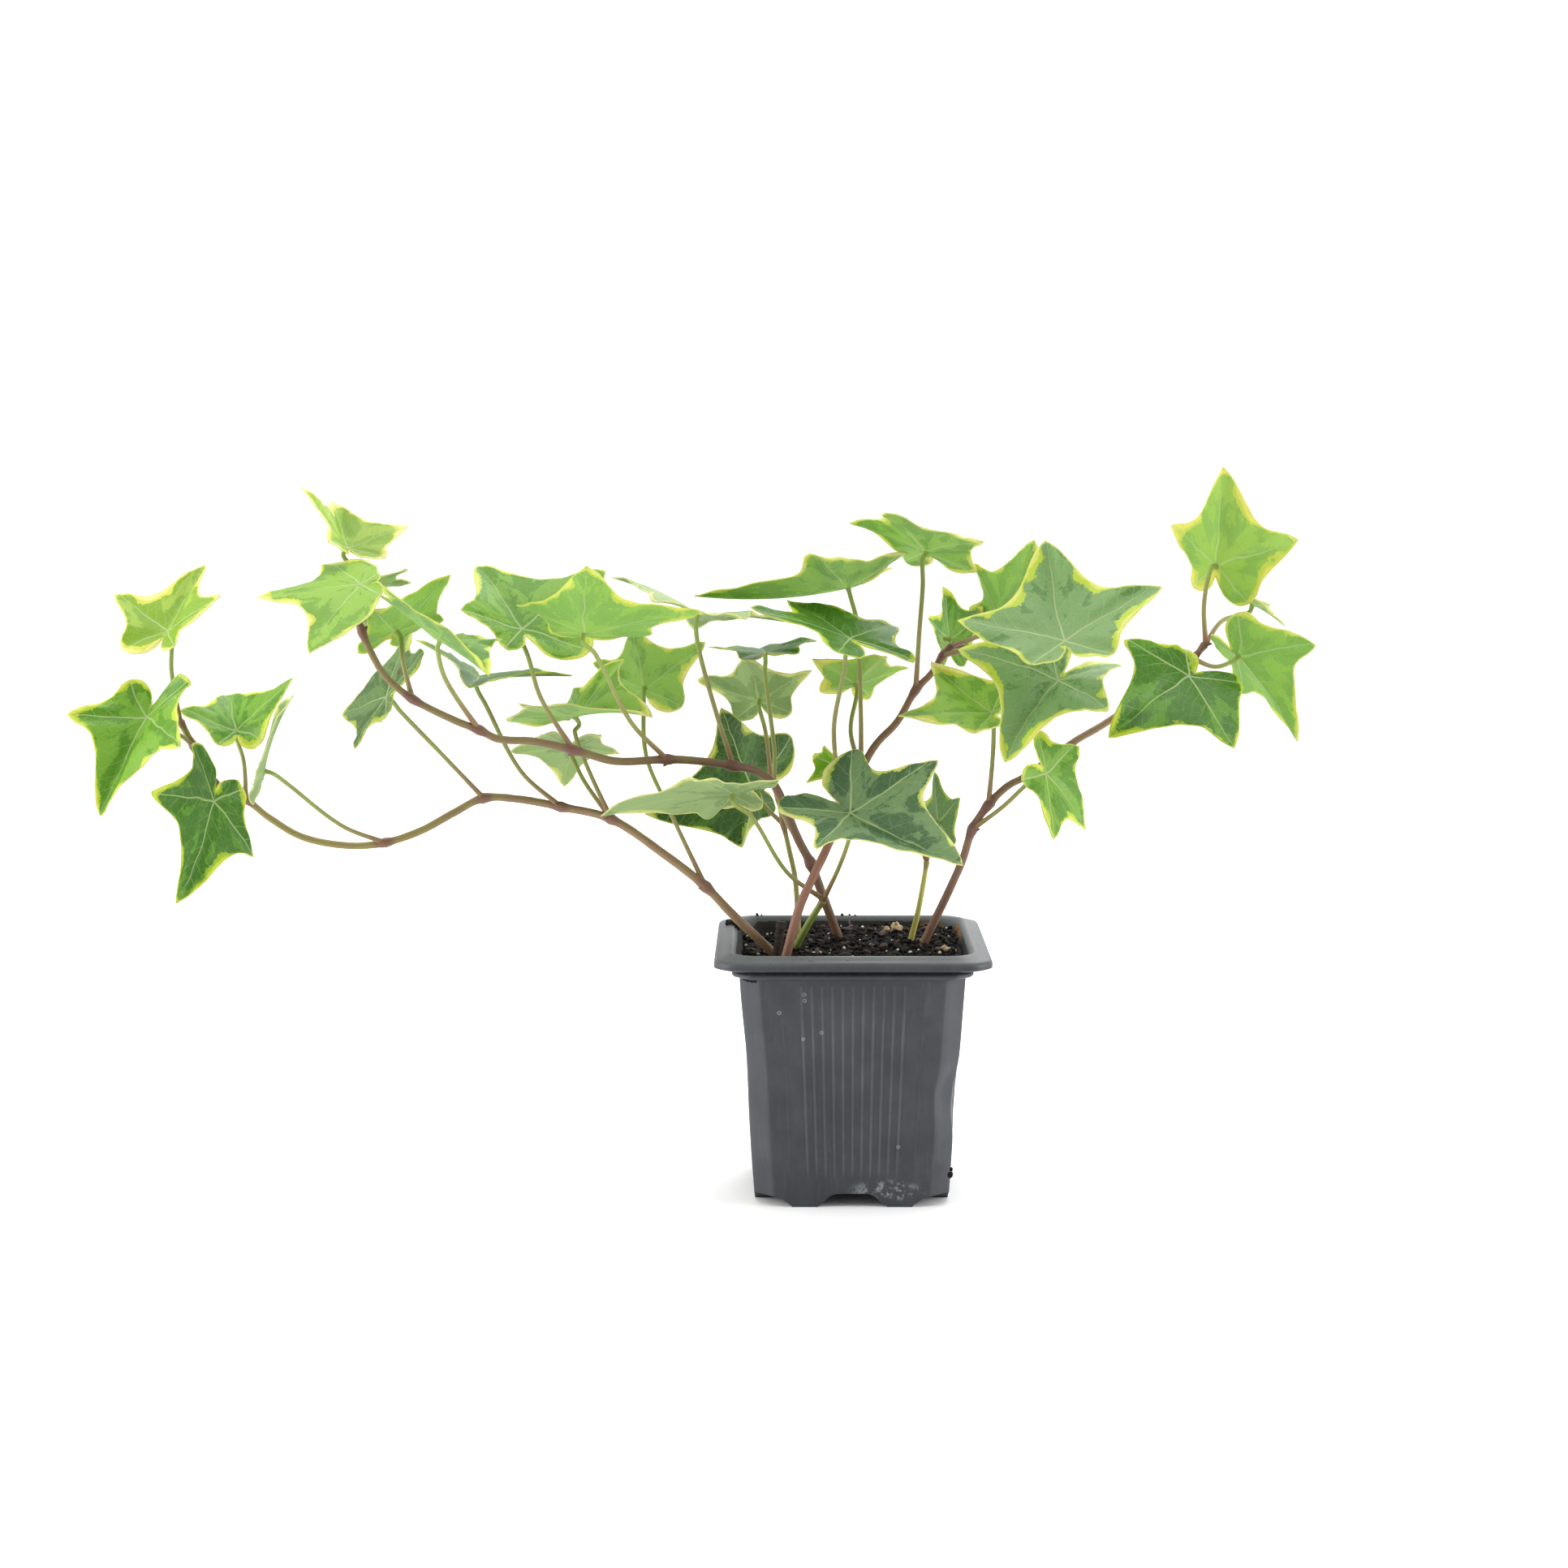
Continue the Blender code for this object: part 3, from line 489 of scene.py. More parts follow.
@cache
def zone_group():
    """Zones of a variegated leaf: the ragged margin, its pale edge, and grey green patches inside."""
    group, given, result = new_group(
        "leaf_zones", ("Point", "Along", "Off", "Rim Distance", "Margin Width", "Patches", "Seed"),
        ("Margin", "Pale Edge", "Patch", "Mottle"))
    place = given["Point"] + combine(given["Seed"], given["Seed"])
    ragged = mottle(place, 0.8, 5, 0.66) - 0.5
    streaks = combine(given["Along"] * 0.07, given["Off"] * 0.16, given["Seed"])
    swell = ramp(mottle(place, 0.085, 1.5), 0.44, 0.72)
    width = given["Margin Width"] * (swell * 2.5 + 0.28) + ragged * 4.2 * (swell + 0.22)
    level = (1.0 - given["Patches"]) * 0.5 + 0.25
    tone = mottle(streaks, 1.0, 2.5, 0.6) + ragged * 0.22
    plug(result, {"Margin": ramp(given["Rim Distance"] - width, 0.16, -0.10),
                  "Pale Edge": ramp(given["Rim Distance"] - width * 0.45, 0.35, -0.25),
                  "Patch": ramp(tone, level - 0.02, level + 0.03),
                  "Mottle": mottle(place, 1.6, 3, 0.6)})
    return group


def leaf_material(name, finish, length, seed, under):
    """One face of a leaf: its zones, its veins and the light that comes through it."""
    deep, grey, inner_margin, pale, margin, patches = LEAF_FINISHES[finish]
    material, tree, sockets = new_material(name)
    flat = Field(add_node(tree, "ShaderNodeUVMap", uv_map="flat_leaf").outputs[0])
    point = flat * (UV_SPAN, UV_SPAN, 0.0)
    veins = use_group(vein_group(), {"Point": point, "Length": length, "Seed": seed})
    zones = use_group(zone_group(), {
        "Point": point, "Along": veins["Along"], "Off": veins["Off"],
        "Rim Distance": attribute(tree, "rim_distance"), "Margin Width": margin, "Patches": patches,
        "Seed": seed})
    shade = zones["Mottle"] * 0.36 + 0.82
    colour = tint(zones["Patch"], deep, grey) * combine(shade, shade, shade)
    glow = colour * GLOW_TINT
    rim_colour = tint(zones["Pale Edge"], inner_margin, pale)
    colour = tint(zones["Margin"], colour, rim_colour)
    glow = tint(zones["Margin"], glow, rim_colour)
    lines = calc("MAXIMUM", veins["Main"] * 0.8, veins["Branches"] * 0.40)
    lines = calc("MAXIMUM", lines, veins["Net"] * 0.10)
    colour = tint(lines, colour, (190, 208, 146))
    glow = tint(lines * 0.6, glow, (190, 208, 120))
    if finish == "spotted":
        colour = tint(ramp(mottle(point, 0.16, 2), 0.655, 0.69), colour, (104, 66, 34))
    if under:
        colour = tint(0.34, colour, (168, 188, 142))
    sign = 1.0 if under else -1.0   # veins stand out below and are sunk above
    height = calc("MAXIMUM", veins["Main"], veins["Branches"] * 0.6) * sign
    height = height + veins["Net"] * (0.25 * sign) + zones["Mottle"] * 0.3
    plug(sockets, {"Base Color": colour, "Roughness": zones["Mottle"] * 0.16 + (0.52 if under else 0.34),
                   "Specular IOR Level": 0.32 if under else 0.42, "Normal": bump(height, 0.14, 0.8)})
    through = add_node(tree, "ShaderNodeBsdfTranslucent", {"Color": glow})
    mix = add_node(tree, "ShaderNodeMixShader", {0: LIGHT_THROUGH})
    tree.links.new(tree.nodes["Principled BSDF"].outputs[0], mix.inputs[1])
    tree.links.new(through.outputs[0], mix.inputs[2])
    tree.links.new(mix.outputs[0], tree.nodes["Material Output"].inputs["Surface"])
    return material


@cache
def bark_group():
    """Young bark: a colour that changes along the stem, darker joints, and fine lengthwise streaks."""
    group, given, result = new_group("young_bark", ("Point", "Along", "Joint"),
                                     ("Age", "Joint", "Fleck", "Height"))
    fine = mottle(given["Point"], 1.1, 4, 0.65)
    broad = mottle(given["Point"], 0.10, 2)
    plug(result, {"Age": ramp(given["Along"] + (broad - 0.5) * 1.1, 0.15, 0.85),
                  "Joint": ramp((fine - 0.5) * 0.8 + given["Joint"], 0.15, 0.75),
                  "Fleck": ramp(fine, 0.60, 0.72), "Height": fine})
    return group


def bark_material(name, young, old, joint):
    material, tree, sockets = new_material(name)
    bark = use_group(bark_group(), {"Point": object_point(tree), "Along": attribute(tree, "along"),
                                    "Joint": attribute(tree, "joint")})
    colour = tint(bark["Joint"] * 0.85, tint(bark["Age"], young, old), joint)
    colour = tint(bark["Fleck"] * 0.45, colour, tuple(value + 38 for value in young))
    plug(sockets, {"Base Color": colour, "Roughness": bark["Height"] * 0.3 + 0.42,
                   "Normal": bump(bark["Height"], 0.12, 0.6)})
    return material


# ---------------------------------------------------------------- mesh helpers

def finish_piece(name, bm, materials, node=None, slot=None, smooth=True):
    """Turn a bmesh in millimetres into a piece in metres that rides on the part."""
    bmesh.ops.scale(bm, vec=(MM, MM, MM), verts=bm.verts)
    mesh = bpy.data.meshes.new(name)
    bm.to_mesh(mesh)
    bm.free()
    piece = bpy.data.objects.new(name, mesh)
    bpy.context.scene.collection.objects.link(piece)
    for material in materials:
        mesh.materials.append(material)
    if smooth:
        mesh.shade_smooth()
    if slot:
        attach(piece, "root")
    if node:
        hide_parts(node)
    return piece


def smooth_route(points, steps):
    """Points along a smooth curve through the given points, `steps` from each to the next."""
    points = [Vector(point) for point in points]
    last = len(points) - 1
    ways = [(points[min(i + 1, last)] - points[max(i - 1, 0)]).normalized() for i in range(last + 1)]
    route = [points[0]]
    for i in range(last):
        reach = (points[i + 1] - points[i]).length / 3
        handles = points[i] + ways[i] * reach, points[i + 1] - ways[i + 1] * reach
        route += geometry.interpolate_bezier(points[i], *handles, points[i + 1], steps + 1)[1:]
    return route


def float_layers(bm, *names):
    return [bm.verts.layers.float.new(name) for name in names]


def add_tube(bm, route, radii, sides, layers, values, slot_index=0):
    """Draw a round tube along a route. `values` fills the float layers at each step."""
    before = set(bm.faces)
    bmesh.ops.create_circle(bm, cap_ends=True, segments=sides, radius=1)
    face = next(iter(set(bm.faces) - before))
    spokes = [vert.co.copy() for vert in face.verts]
    heading = Vector((0, 0, 1))
    last = len(route) - 1
    for i, place in enumerate(route):
        onward = (route[min(i + 1, last)] - route[max(i - 1, 0)]).normalized()
        turn = heading.rotation_difference(onward)
        spokes = [turn @ spoke for spoke in spokes]
        heading = onward
        if i:
            face = bmesh.ops.extrude_discrete_faces(bm, faces=[face])["faces"][0]
        for vert, spoke in zip(face.verts, spokes):
            vert.co = place + spoke * radii[i]
            for layer, value in zip(layers, values):
                vert[layer] = value[i]
    bmesh.ops.holes_fill(bm, edges=[edge for edge in bm.edges if edge.is_boundary])
    tube = [one for one in bm.faces if one not in before]
    bmesh.ops.recalc_face_normals(bm, faces=tube)
    for one in tube:
        one.material_index = slot_index


def add_lump(bm, place, radius, matrix, detail, roughness, grain):
    """Add a ball that the matrix puts in place, with its skin pushed in and out from there."""
    ball = bmesh.ops.create_icosphere(bm, subdivisions=detail, radius=radius, matrix=matrix)
    for vert in ball["verts"]:
        vert.co = place + (vert.co - place) * (1 + roughness * noise.noise(vert.co * grain))


def extruded_through(rings):
    """A solid that starts as the first ring's face and is extruded through the rings after it."""
    bm = bmesh.new()
    face = bm.faces.new([bm.verts.new(point) for point in rings[0]])
    for ring in rings[1:]:
        face = bmesh.ops.extrude_discrete_faces(bm, faces=[face])["faces"][0]
        for vert, point in zip(face.verts, ring):
            vert.co = point
    bmesh.ops.holes_fill(bm, edges=bm.edges)
    bmesh.ops.recalc_face_normals(bm, faces=bm.faces)
    return bm


def four_guides(name, rings):
    """Four solids extruded through the rings, one at each quarter turn."""
    guides = []
    for side in range(4):
        bm = extruded_through(rings)
        spin = Matrix.Rotation(math.radians(90 * side), 3, "Z")
        bmesh.ops.rotate(bm, cent=(0, 0, 0), matrix=spin, verts=bm.verts)
        guides.append(finish_piece(name, bm, []))
    return guides


def cut_with(piece, guides, operation):
    """Join or cut a piece with guide shapes, which are then removed."""
    for guide in guides:
        change = piece.modifiers.new(guide.name, "BOOLEAN")
        change.operation = operation
        change.object = guide
        shaped = piece.evaluated_get(bpy.context.evaluated_depsgraph_get())
        shaped = bpy.data.meshes.new_from_object(shaped)
        piece.modifiers.clear()
        piece.data = shaped
        bpy.data.objects.remove(guide)


# ---------------------------------------------------------------- leaves

def blade_axes(heading, pitch, roll):
    """Unit vectors to a blade's right, along its midrib to the tip, and up out of its upper face."""
    heading, pitch, roll = (math.radians(angle) for angle in (heading, pitch, roll))
    ahead = Vector((math.cos(heading), math.sin(heading), 0))
    tip = ahead * math.cos(pitch) + Vector((0, 0, math.sin(pitch)))
    level = Vector((0, 0, math.cos(pitch))) - ahead * math.sin(pitch)
    level_right = tip.cross(level)
    right = level_right * math.cos(roll) - level * math.sin(roll)
    face = level * math.cos(roll) + level_right * math.sin(roll)
    return right, tip, face


def leaf_corners(length, widths, draw):
    """The twelve corners of the flat leaf, clockwise from the tip, each a little out of true."""
    left, right, base = widths
    halves = []
    for side, width in ((1, right), (-1, left)):
        shares = (1, (1 + width) / 2, width, width, width * base, width * base, 1)
        corners = []
        for (angle, radius), share, smooth in zip(HALF_LEAF, shares, SMOOTH_CORNER):
            wander = 0 if angle in (0, 180) else draw.uniform(-2.5, 2.5)
            reach = max(length * radius * share * draw.uniform(0.955, 1.0), SMALLEST_SINUS)
            turn = side * math.radians(angle + wander)
            corners.append((Vector((reach * math.sin(turn), reach * math.cos(turn))), smooth))
        halves.append(corners)
    return halves[0] + halves[1][-2:0:-1]


def leaf_rim(length, widths, draw):
    """Points around the flat leaf: pointed lobes with full sides, and round notches between them."""
    corners = leaf_corners(length, widths, draw)
    fullness = math.radians(draw.uniform(8, 17))
    rim = []
    for i, span in enumerate(SPANS + SPANS[::-1]):
        (start, start_smooth), (end, end_smooth) = corners[i], corners[(i + 1) % len(corners)]
        chord = end - start
        reach = chord.length * RIM_HANDLE
        if start_smooth:
            way = (end - corners[i - 1][0]).normalized()
        else:
            way = Matrix.Rotation(fullness, 2) @ chord.normalized()
        if end_smooth:
            back = (corners[(i + 2) % len(corners)][0] - start).normalized()
        else:
            back = Matrix.Rotation(-fullness, 2) @ chord.normalized()
        handles = start + way * reach, end - back * reach
        rim += geometry.interpolate_bezier(start, *handles, end, span + 1)[:-1]
    return np.array([tuple(point)[:2] for point in rim])


def blade_pattern(count):
    """A flat disc of rings and spokes, with each vertex's ring and spoke number."""
    bm = bmesh.new()
    bmesh.ops.create_circle(bm, cap_ends=True, segments=count, radius=1)
    ring_layer = bm.verts.layers.int.new("ring")
    for ring in range(1, RINGS + 1):
        rim = [edge for edge in bm.edges if edge.is_boundary]
        for vert in bmesh.ops.extrude_edge_only(bm, edges=rim)["geom"]:
            if isinstance(vert, bmesh.types.BMVert):
                vert[ring_layer] = ring
                vert.co.xy *= (ring + 1) / ring
    bmesh.ops.recalc_face_normals(bm, faces=bm.faces)
    if sum(face.normal.z for face in bm.faces) < 0:
        bmesh.ops.reverse_faces(bm, faces=bm.faces)
    mesh = bpy.data.meshes.new("blade_pattern")
    bm.to_mesh(mesh)
    places = np.array([vert.co[:] for vert in bm.verts])
    rings = np.array([vert[ring_layer] for vert in bm.verts])
    spokes = np.round(np.arctan2(places[:, 0], places[:, 1]) / math.tau * count).astype(int) % count
    bm.free()
    return mesh, rings, spokes


def waves(turns, draw, counts, size):
    """A sum of waves around the leaf, with random phases and sizes."""
    total = np.zeros_like(turns)
    for count in counts:
        total += draw.uniform(0.4, 1.0) * np.sin(count * turns + draw.uniform(0, math.tau))
    return total * size / math.sqrt(len(counts))


def bend_blade(x, y, lift, length, folds, curl):
    """Where points of the flat leaf go when its sides droop, its halves fold and its tip curls."""
    side = np.sqrt(x * x + MIDRIB_SOFTNESS ** 2) - MIDRIB_SOFTNESS
    droop = math.radians(SIDE_DROOP) / length
    up = -(1 - np.cos(droop * side)) / droop + lift
    left, right = (math.radians(fold) for fold in folds)
    fold = np.where(x < 0, left, right)
    out = np.abs(x) * np.cos(fold) - (up * np.sin(fold)) * np.minimum(np.abs(x) / 3, 1)
    up = side * np.sin(fold) + up * np.cos(fold)
    bend = math.radians(curl if abs(curl) > LEAST_CURL else LEAST_CURL) / length
    along = np.sin(bend * y) * (1 / bend + up)
    up = np.cos(bend * y) * (1 / bend + up) - 1 / bend
    return np.copysign(out, x), along, up


def leaf_relief(x, y, share, turns, length, draw):
    """How far the blade's skin rises: full between the veins, wavy and curling at the margin."""
    nearest = np.full_like(x, np.inf)
    for turn in (side * math.radians(angle) for angle in VEIN_ANGLES for side in (1, -1)):
        ahead = x * math.sin(turn) + y * math.cos(turn)
        off = np.abs(x * math.cos(turn) - y * math.sin(turn))
        nearest = np.minimum(nearest, np.where(ahead > 0, off, np.hypot(x, y)))
    full = 0.020 * length * (1 - np.exp(-(nearest / (0.07 * length)) ** 2)) * np.minimum(share * 2, 1)
    wave = waves(turns, draw, (5, 8, 11), 0.022 * length) * share ** 3
    ripple = waves(turns, draw, (17, 23, 31), 0.006 * length) * share ** 4
    lobe = waves(turns, draw, (1, 2, 3), 0.035 * length) * share ** 2
    return full + wave + ripple + lobe


def flat_leaf(rim, rings, spokes):
    """The flat leaf's points, closer together towards its rim, and how far they are from the rim."""
    share = rings / RINGS
    hub = rim / np.linalg.norm(rim, axis=1)[:, None] * HUB_RADIUS
    flat = hub[spokes] + (rim - hub)[spokes] * (share ** 0.9)[:, None]
    ends = np.roll(rim, -1, axis=0) - rim
    gap = flat[:, None, :] - rim[None]
    at = np.clip((gap * ends).sum(2) / (ends ** 2).sum(1), 0, 1)
    return flat, np.linalg.norm(gap - ends[None] * at[:, :, None], axis=2).min(1)


def build_leaf(name, stem, row, pattern, stalk_finish, draw):
    """A leaf with its stalk: the flat leaf is bent, put in place and given a thickness."""
    joint, bends, foot, turn, length, widths, folds, curl, finish = row
    pattern_mesh, rings, spokes = pattern
    rim = leaf_rim(length, widths, draw)
    flat, rim_distance = flat_leaf(rim, rings, spokes)
    x, y = flat[:, 0], flat[:, 1]
    lift = leaf_relief(x, y, rings / RINGS, spokes / len(rim) * math.tau, length, draw)
    axes = blade_axes(*turn)
    placed = np.stack(bend_blade(x, y, lift, length, folds, curl), 1)
    placed = placed @ np.array([axis[:] for axis in axes]) + np.array(foot)

    bm = bmesh.new()
    bm.from_mesh(pattern_mesh)
    rim_layer, x_layer, y_layer = float_layers(bm, "rim_distance", "flat_x", "flat_y")
    for vert, place, (flat_x, flat_y), gap in zip(bm.verts, placed, flat, rim_distance):
        vert.co = place
        vert[rim_layer], vert[x_layer], vert[y_layer] = gap, flat_x, flat_y
    bm.normal_update()
    bmesh.ops.solidify(bm, geom=bm.faces, thickness=BLADE_THICKNESS)
    flat_map = bm.loops.layers.uv.new("flat_leaf")
    for face in bm.faces:
        face.material_index = 0 if face.normal.dot(axes[2]) > 0 else 1
        for loop in face.loops:
            loop[flat_map].uv = (loop.vert[x_layer] / UV_SPAN, loop.vert[y_layer] / UV_SPAN)
    add_stalk(bm, stalk_route(stem, joint, bends, foot, axes[2]))
    seed = draw.uniform(0, 400)
    materials = [leaf_material(f"{name}_upper", finish, length, seed, False),
                 leaf_material(f"{name}_under", finish, length, seed, name not in TURNED_OVER), stalk_finish]
    finish_piece(f"{name}_blade", bm, materials, name, "ivy_leaf")


def stalk_route(stem, joint, bends, foot, face):
    """The stalk's path from inside the blade to inside its stem."""
    foot = Vector(foot)
    knots = [foot - face * BLADE_OVERLAP, foot - face * STALK_START]
    return smooth_route(knots + bends[::-1] + [STEMS[stem][1][joint]], STALK_STEPS)


def add_stalk(bm, route):
    """A leaf's stalk, thicker at the blade and where it meets the stem."""
    last = len(route) - 1
    steps = range(last + 1)
    radii = [STALK_RADIUS * (1 + 0.6 * math.exp(-i / 1.6) + 0.35 * math.exp(-(last - i) / 2.5))
             for i in steps]
    values = [i / last for i in steps], [math.exp(-(last - i) / 5) for i in steps]
    add_tube(bm, route, radii, 10, float_layers(bm, "along", "joint"), values, 2)


# ---------------------------------------------------------------- stems

def nearness(place, knuckles, reach):
    """1 at a knuckle, falling to 0 away from it."""
    return max([math.exp(-((place - knuckle).length / reach) ** 2) for knuckle in knuckles] + [0])


def build_stem(name, finish, draw):
    """A stem that starts under the soil, with a swelling and a bud at each joint that has a leaf."""
    (foot_radius, tip_radius), joints = STEMS[name]
    below = Vector(joints[0]) + (Vector(joints[0]) - Vector(joints[1])).normalized() * STEM_DEPTH
    route = smooth_route([below] + joints, STEM_STEPS)
    last = len(route) - 1
    numbers = [(joint + 1) * STEM_STEPS for joint in sorted({row[0] for row in LEAVES[name]})]
    knuckles = [route[number] for number in numbers]
    radii = []
    for i, place in enumerate(route):
        base = foot_radius + (tip_radius - foot_radius) * i / last
        swell = 0.42 * nearness(place, knuckles, 1.9)
        radii.append(STEM_FULLNESS * base * (1 + swell + 0.05 * noise.noise(place * 0.35)))
    radii[-1] *= 0.6
    bm = bmesh.new()
    layers = float_layers(bm, "along", "joint")
    values = [1 - i / last for i in range(last + 1)], [nearness(place, knuckles, 3.6) for place in route]
    add_tube(bm, route, radii, 14, layers, values)
    for vert in bm.verts:
        vert.co += vert.co.normalized() * 0.06 * noise.noise(vert.co * 1.4)
    for k in numbers:
        add_bud(bm, route[k], route[min(k + 3, last)] - route[max(k - 3, 0)], radii[k], layers, draw)
    finish_piece(f"stem_{name}_bark", bm, [finish], f"stem_{name}", "ivy_stem")


def add_bud(bm, place, heading, radius, layers, draw):
    """A small pointed bud that sits in the angle between a stalk and its stem."""
    heading = heading.normalized()
    side = heading.orthogonal()
    side.rotate(Matrix.Rotation(draw.uniform(0, math.tau), 3, heading))
    way = (heading * 0.8 + side.normalized() * 0.9).normalized()
    route = [place + side.normalized() * radius * 0.5 + way * step for step in (0, 0.5, 1.0, 1.5, 1.9)]
    add_tube(bm, route, [0.6, 0.66, 0.55, 0.32, 0.06], 8, layers, ([0.5] * 5, [1.0] * 5))


# ---------------------------------------------------------------- pot

def wall_half(height):
    """Half the pot's outer width at a height below its neck."""
    return FOOT_HALF + (NECK_HALF - FOOT_HALF) * height / NECK_HEIGHT


def pot_ring(height, half, cut, rounding, rib=0.0):
    """One level of the pot: four ribbed sides and four flat corners, with every edge rounded."""
    ends = half - cut
    side = [(-ends + rounding, half)]
    for place in RIB_PLACES:
        thin = 0.5 if abs(place) > 0.7 else 1.0
        for offset, rise in RIB_SECTION:
            side.append(((place + offset * thin) * (ends - rounding), half + rise * rib * thin))
    side.append((ends - rounding, half))
    slant = Vector((1, -1)).normalized()
    corner, next_corner = Vector((ends, half)), Vector((half, ends))
    for middle, before, after in ((corner, Vector((1, 0)), slant), (next_corner, slant, Vector((0, -1)))):
        start, end = middle - before * rounding, middle + after * rounding
        for share in (0.25, 0.5, 0.75, 1.0):
            first, second = start.lerp(middle, share), middle.lerp(end, share)
            side.append(tuple(first.lerp(second, share)))
        if middle is corner:
            reach = next_corner - slant * rounding - end
            side += [tuple(end + reach * share) for share in (0.25, 0.5, 0.75)]
    ring = []
    for turn in range(4):
        spin = Matrix.Rotation(math.radians(-90 * turn), 2)
        ring += [(*(spin @ Vector(point)), height) for point in side[:-1]]
    return ring


def drain_guides(skin, outer_end, bottom):
    """Four arched bars, one along each drain channel, larger than the channel by `skin` all round."""
    half = [(x + skin, z + skin * z / DRAIN_HEIGHT) for x, z in DRAIN_ARCH]
    half[0] = (half[0][0], bottom)
    section = half + [(-x, z) for x, z in reversed(half)]
    ends = DRAIN_START - skin, outer_end
    return four_guides("drain_guide", [[(x, y, z) for y, z in section] for x in ends])


def corner_guides():
    """Four wedges that lift the pot's corners off the ground between its feet."""
    levels = (-1.0, 18.6), (0.4, 19.4), (2.6, 22.4), (3.4, 25.0)
    return four_guides("corner_guide", [
        [(start, start, height), (40, start, height), (40, 40, height), (start, 40, height)]
        for height, start in levels])


def corner_floor_guides():
    """The floor over each lifted corner, kept inside the wall."""
    end, cut = 30.4, 25.0
    levels = (WALL / 2, 17.4), (1.6, 18.2), (3.8, 21.2), (4.6, 23.8)
    return four_guides("corner_floor_guide", [
        [(start, start, height), (end, start, height), (end, cut, height), (cut, end, height),
         (start, end, height)] for height, start in levels])


def drain_holes():
    holes = []
    for turn in (math.radians(90 * side) for side in range(4)):
        bm = bmesh.new()
        bmesh.ops.create_cone(bm, cap_ends=True, segments=32, radius1=DRAIN_HOLE_RADIUS,
                              radius2=DRAIN_HOLE_RADIUS, depth=4 * DRAIN_HEIGHT)
        place = (DRAIN_HOLE_PLACE * math.cos(turn), DRAIN_HOLE_PLACE * math.sin(turn), DRAIN_HEIGHT)
        bmesh.ops.translate(bm, vec=place, verts=bm.verts)
        holes.append(finish_piece("drain_hole_guide", bm, []))
    return holes


def push_dents(piece):
    """Push dents into the pot's thin wall, inside and outside alike."""
    for vert in piece.data.vertices:
        place = vert.co / MM
        if not DENTS_START < place.z < NECK_HEIGHT:
            continue
        ease = min((place.z - DENTS_START) / 8, (NECK_HEIGHT - place.z) / 8, 1)
        for centre, width, depth, (x, y) in DENTS:
            amount = depth * math.exp(-((place - Vector(centre)).length / width) ** 2) * ease
            vert.co += Vector((x, y, 0)) * amount * MM
        level = Vector((place.x, place.y, 0)).normalized()
        vert.co += level * 0.22 * ease * noise.noise(place * 0.035) * MM


def build_pot():
    """The pot, from its foot up the outside, over the rim and down the inside, with its drains cut."""
    rings = []
    for i in range(WALL_LEVELS + 1):
        height = NECK_HEIGHT * i / WALL_LEVELS
        rib = RIB_HEIGHT * min(1, max(0, (height - 9) / 6)) * min(1, max(0, (72.5 - height) / 3))
        rings.append(pot_ring(height, wall_half(height), CORNER_CUT, WALL_ROUNDING, rib))
    rings += [pot_ring(NECK_HEIGHT + up, *row) for up, *row in COLLAR_PROFILE]
    rings += [pot_ring(POT_HEIGHT - down, *row) for down, *row in RIM_PROFILE]
    rings += [pot_ring(NECK_HEIGHT + up, *row) for up, *row in INNER_PROFILE]
    top = NECK_HEIGHT - 0.5
    for i in range(1, INNER_LEVELS + 1):
        height = top + (WALL - top) * i / INNER_LEVELS
        rings.append(pot_ring(height, wall_half(height) - WALL, CORNER_CUT - 0.5, 1.0))
    pot = finish_piece("pot_shell", extruded_through(rings), [])
    cut_with(pot, drain_guides(WALL, FOOT_HALF - WALL / 2, WALL / 2), "UNION")
    cut_with(pot, corner_floor_guides(), "UNION")
    cut_with(pot, drain_guides(0.0, FOOT_HALF + 3, -1.0), "DIFFERENCE")
    cut_with(pot, corner_guides(), "DIFFERENCE")
    cut_with(pot, drain_holes(), "DIFFERENCE")
    push_dents(pot)
    pot.data.materials.clear()
    pot.data.materials.append(pot_material())
    pot.data.shade_smooth()
    pot.data.set_sharp_from_angle(angle=math.radians(40))
    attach(pot, "root")
    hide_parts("pot")


def near_mask(point, centre, radius, squash):
    """A soft mask around a place."""
    return ramp(distance((point - centre) * squash, (0, 0, 0)), radius, radius * 0.35)


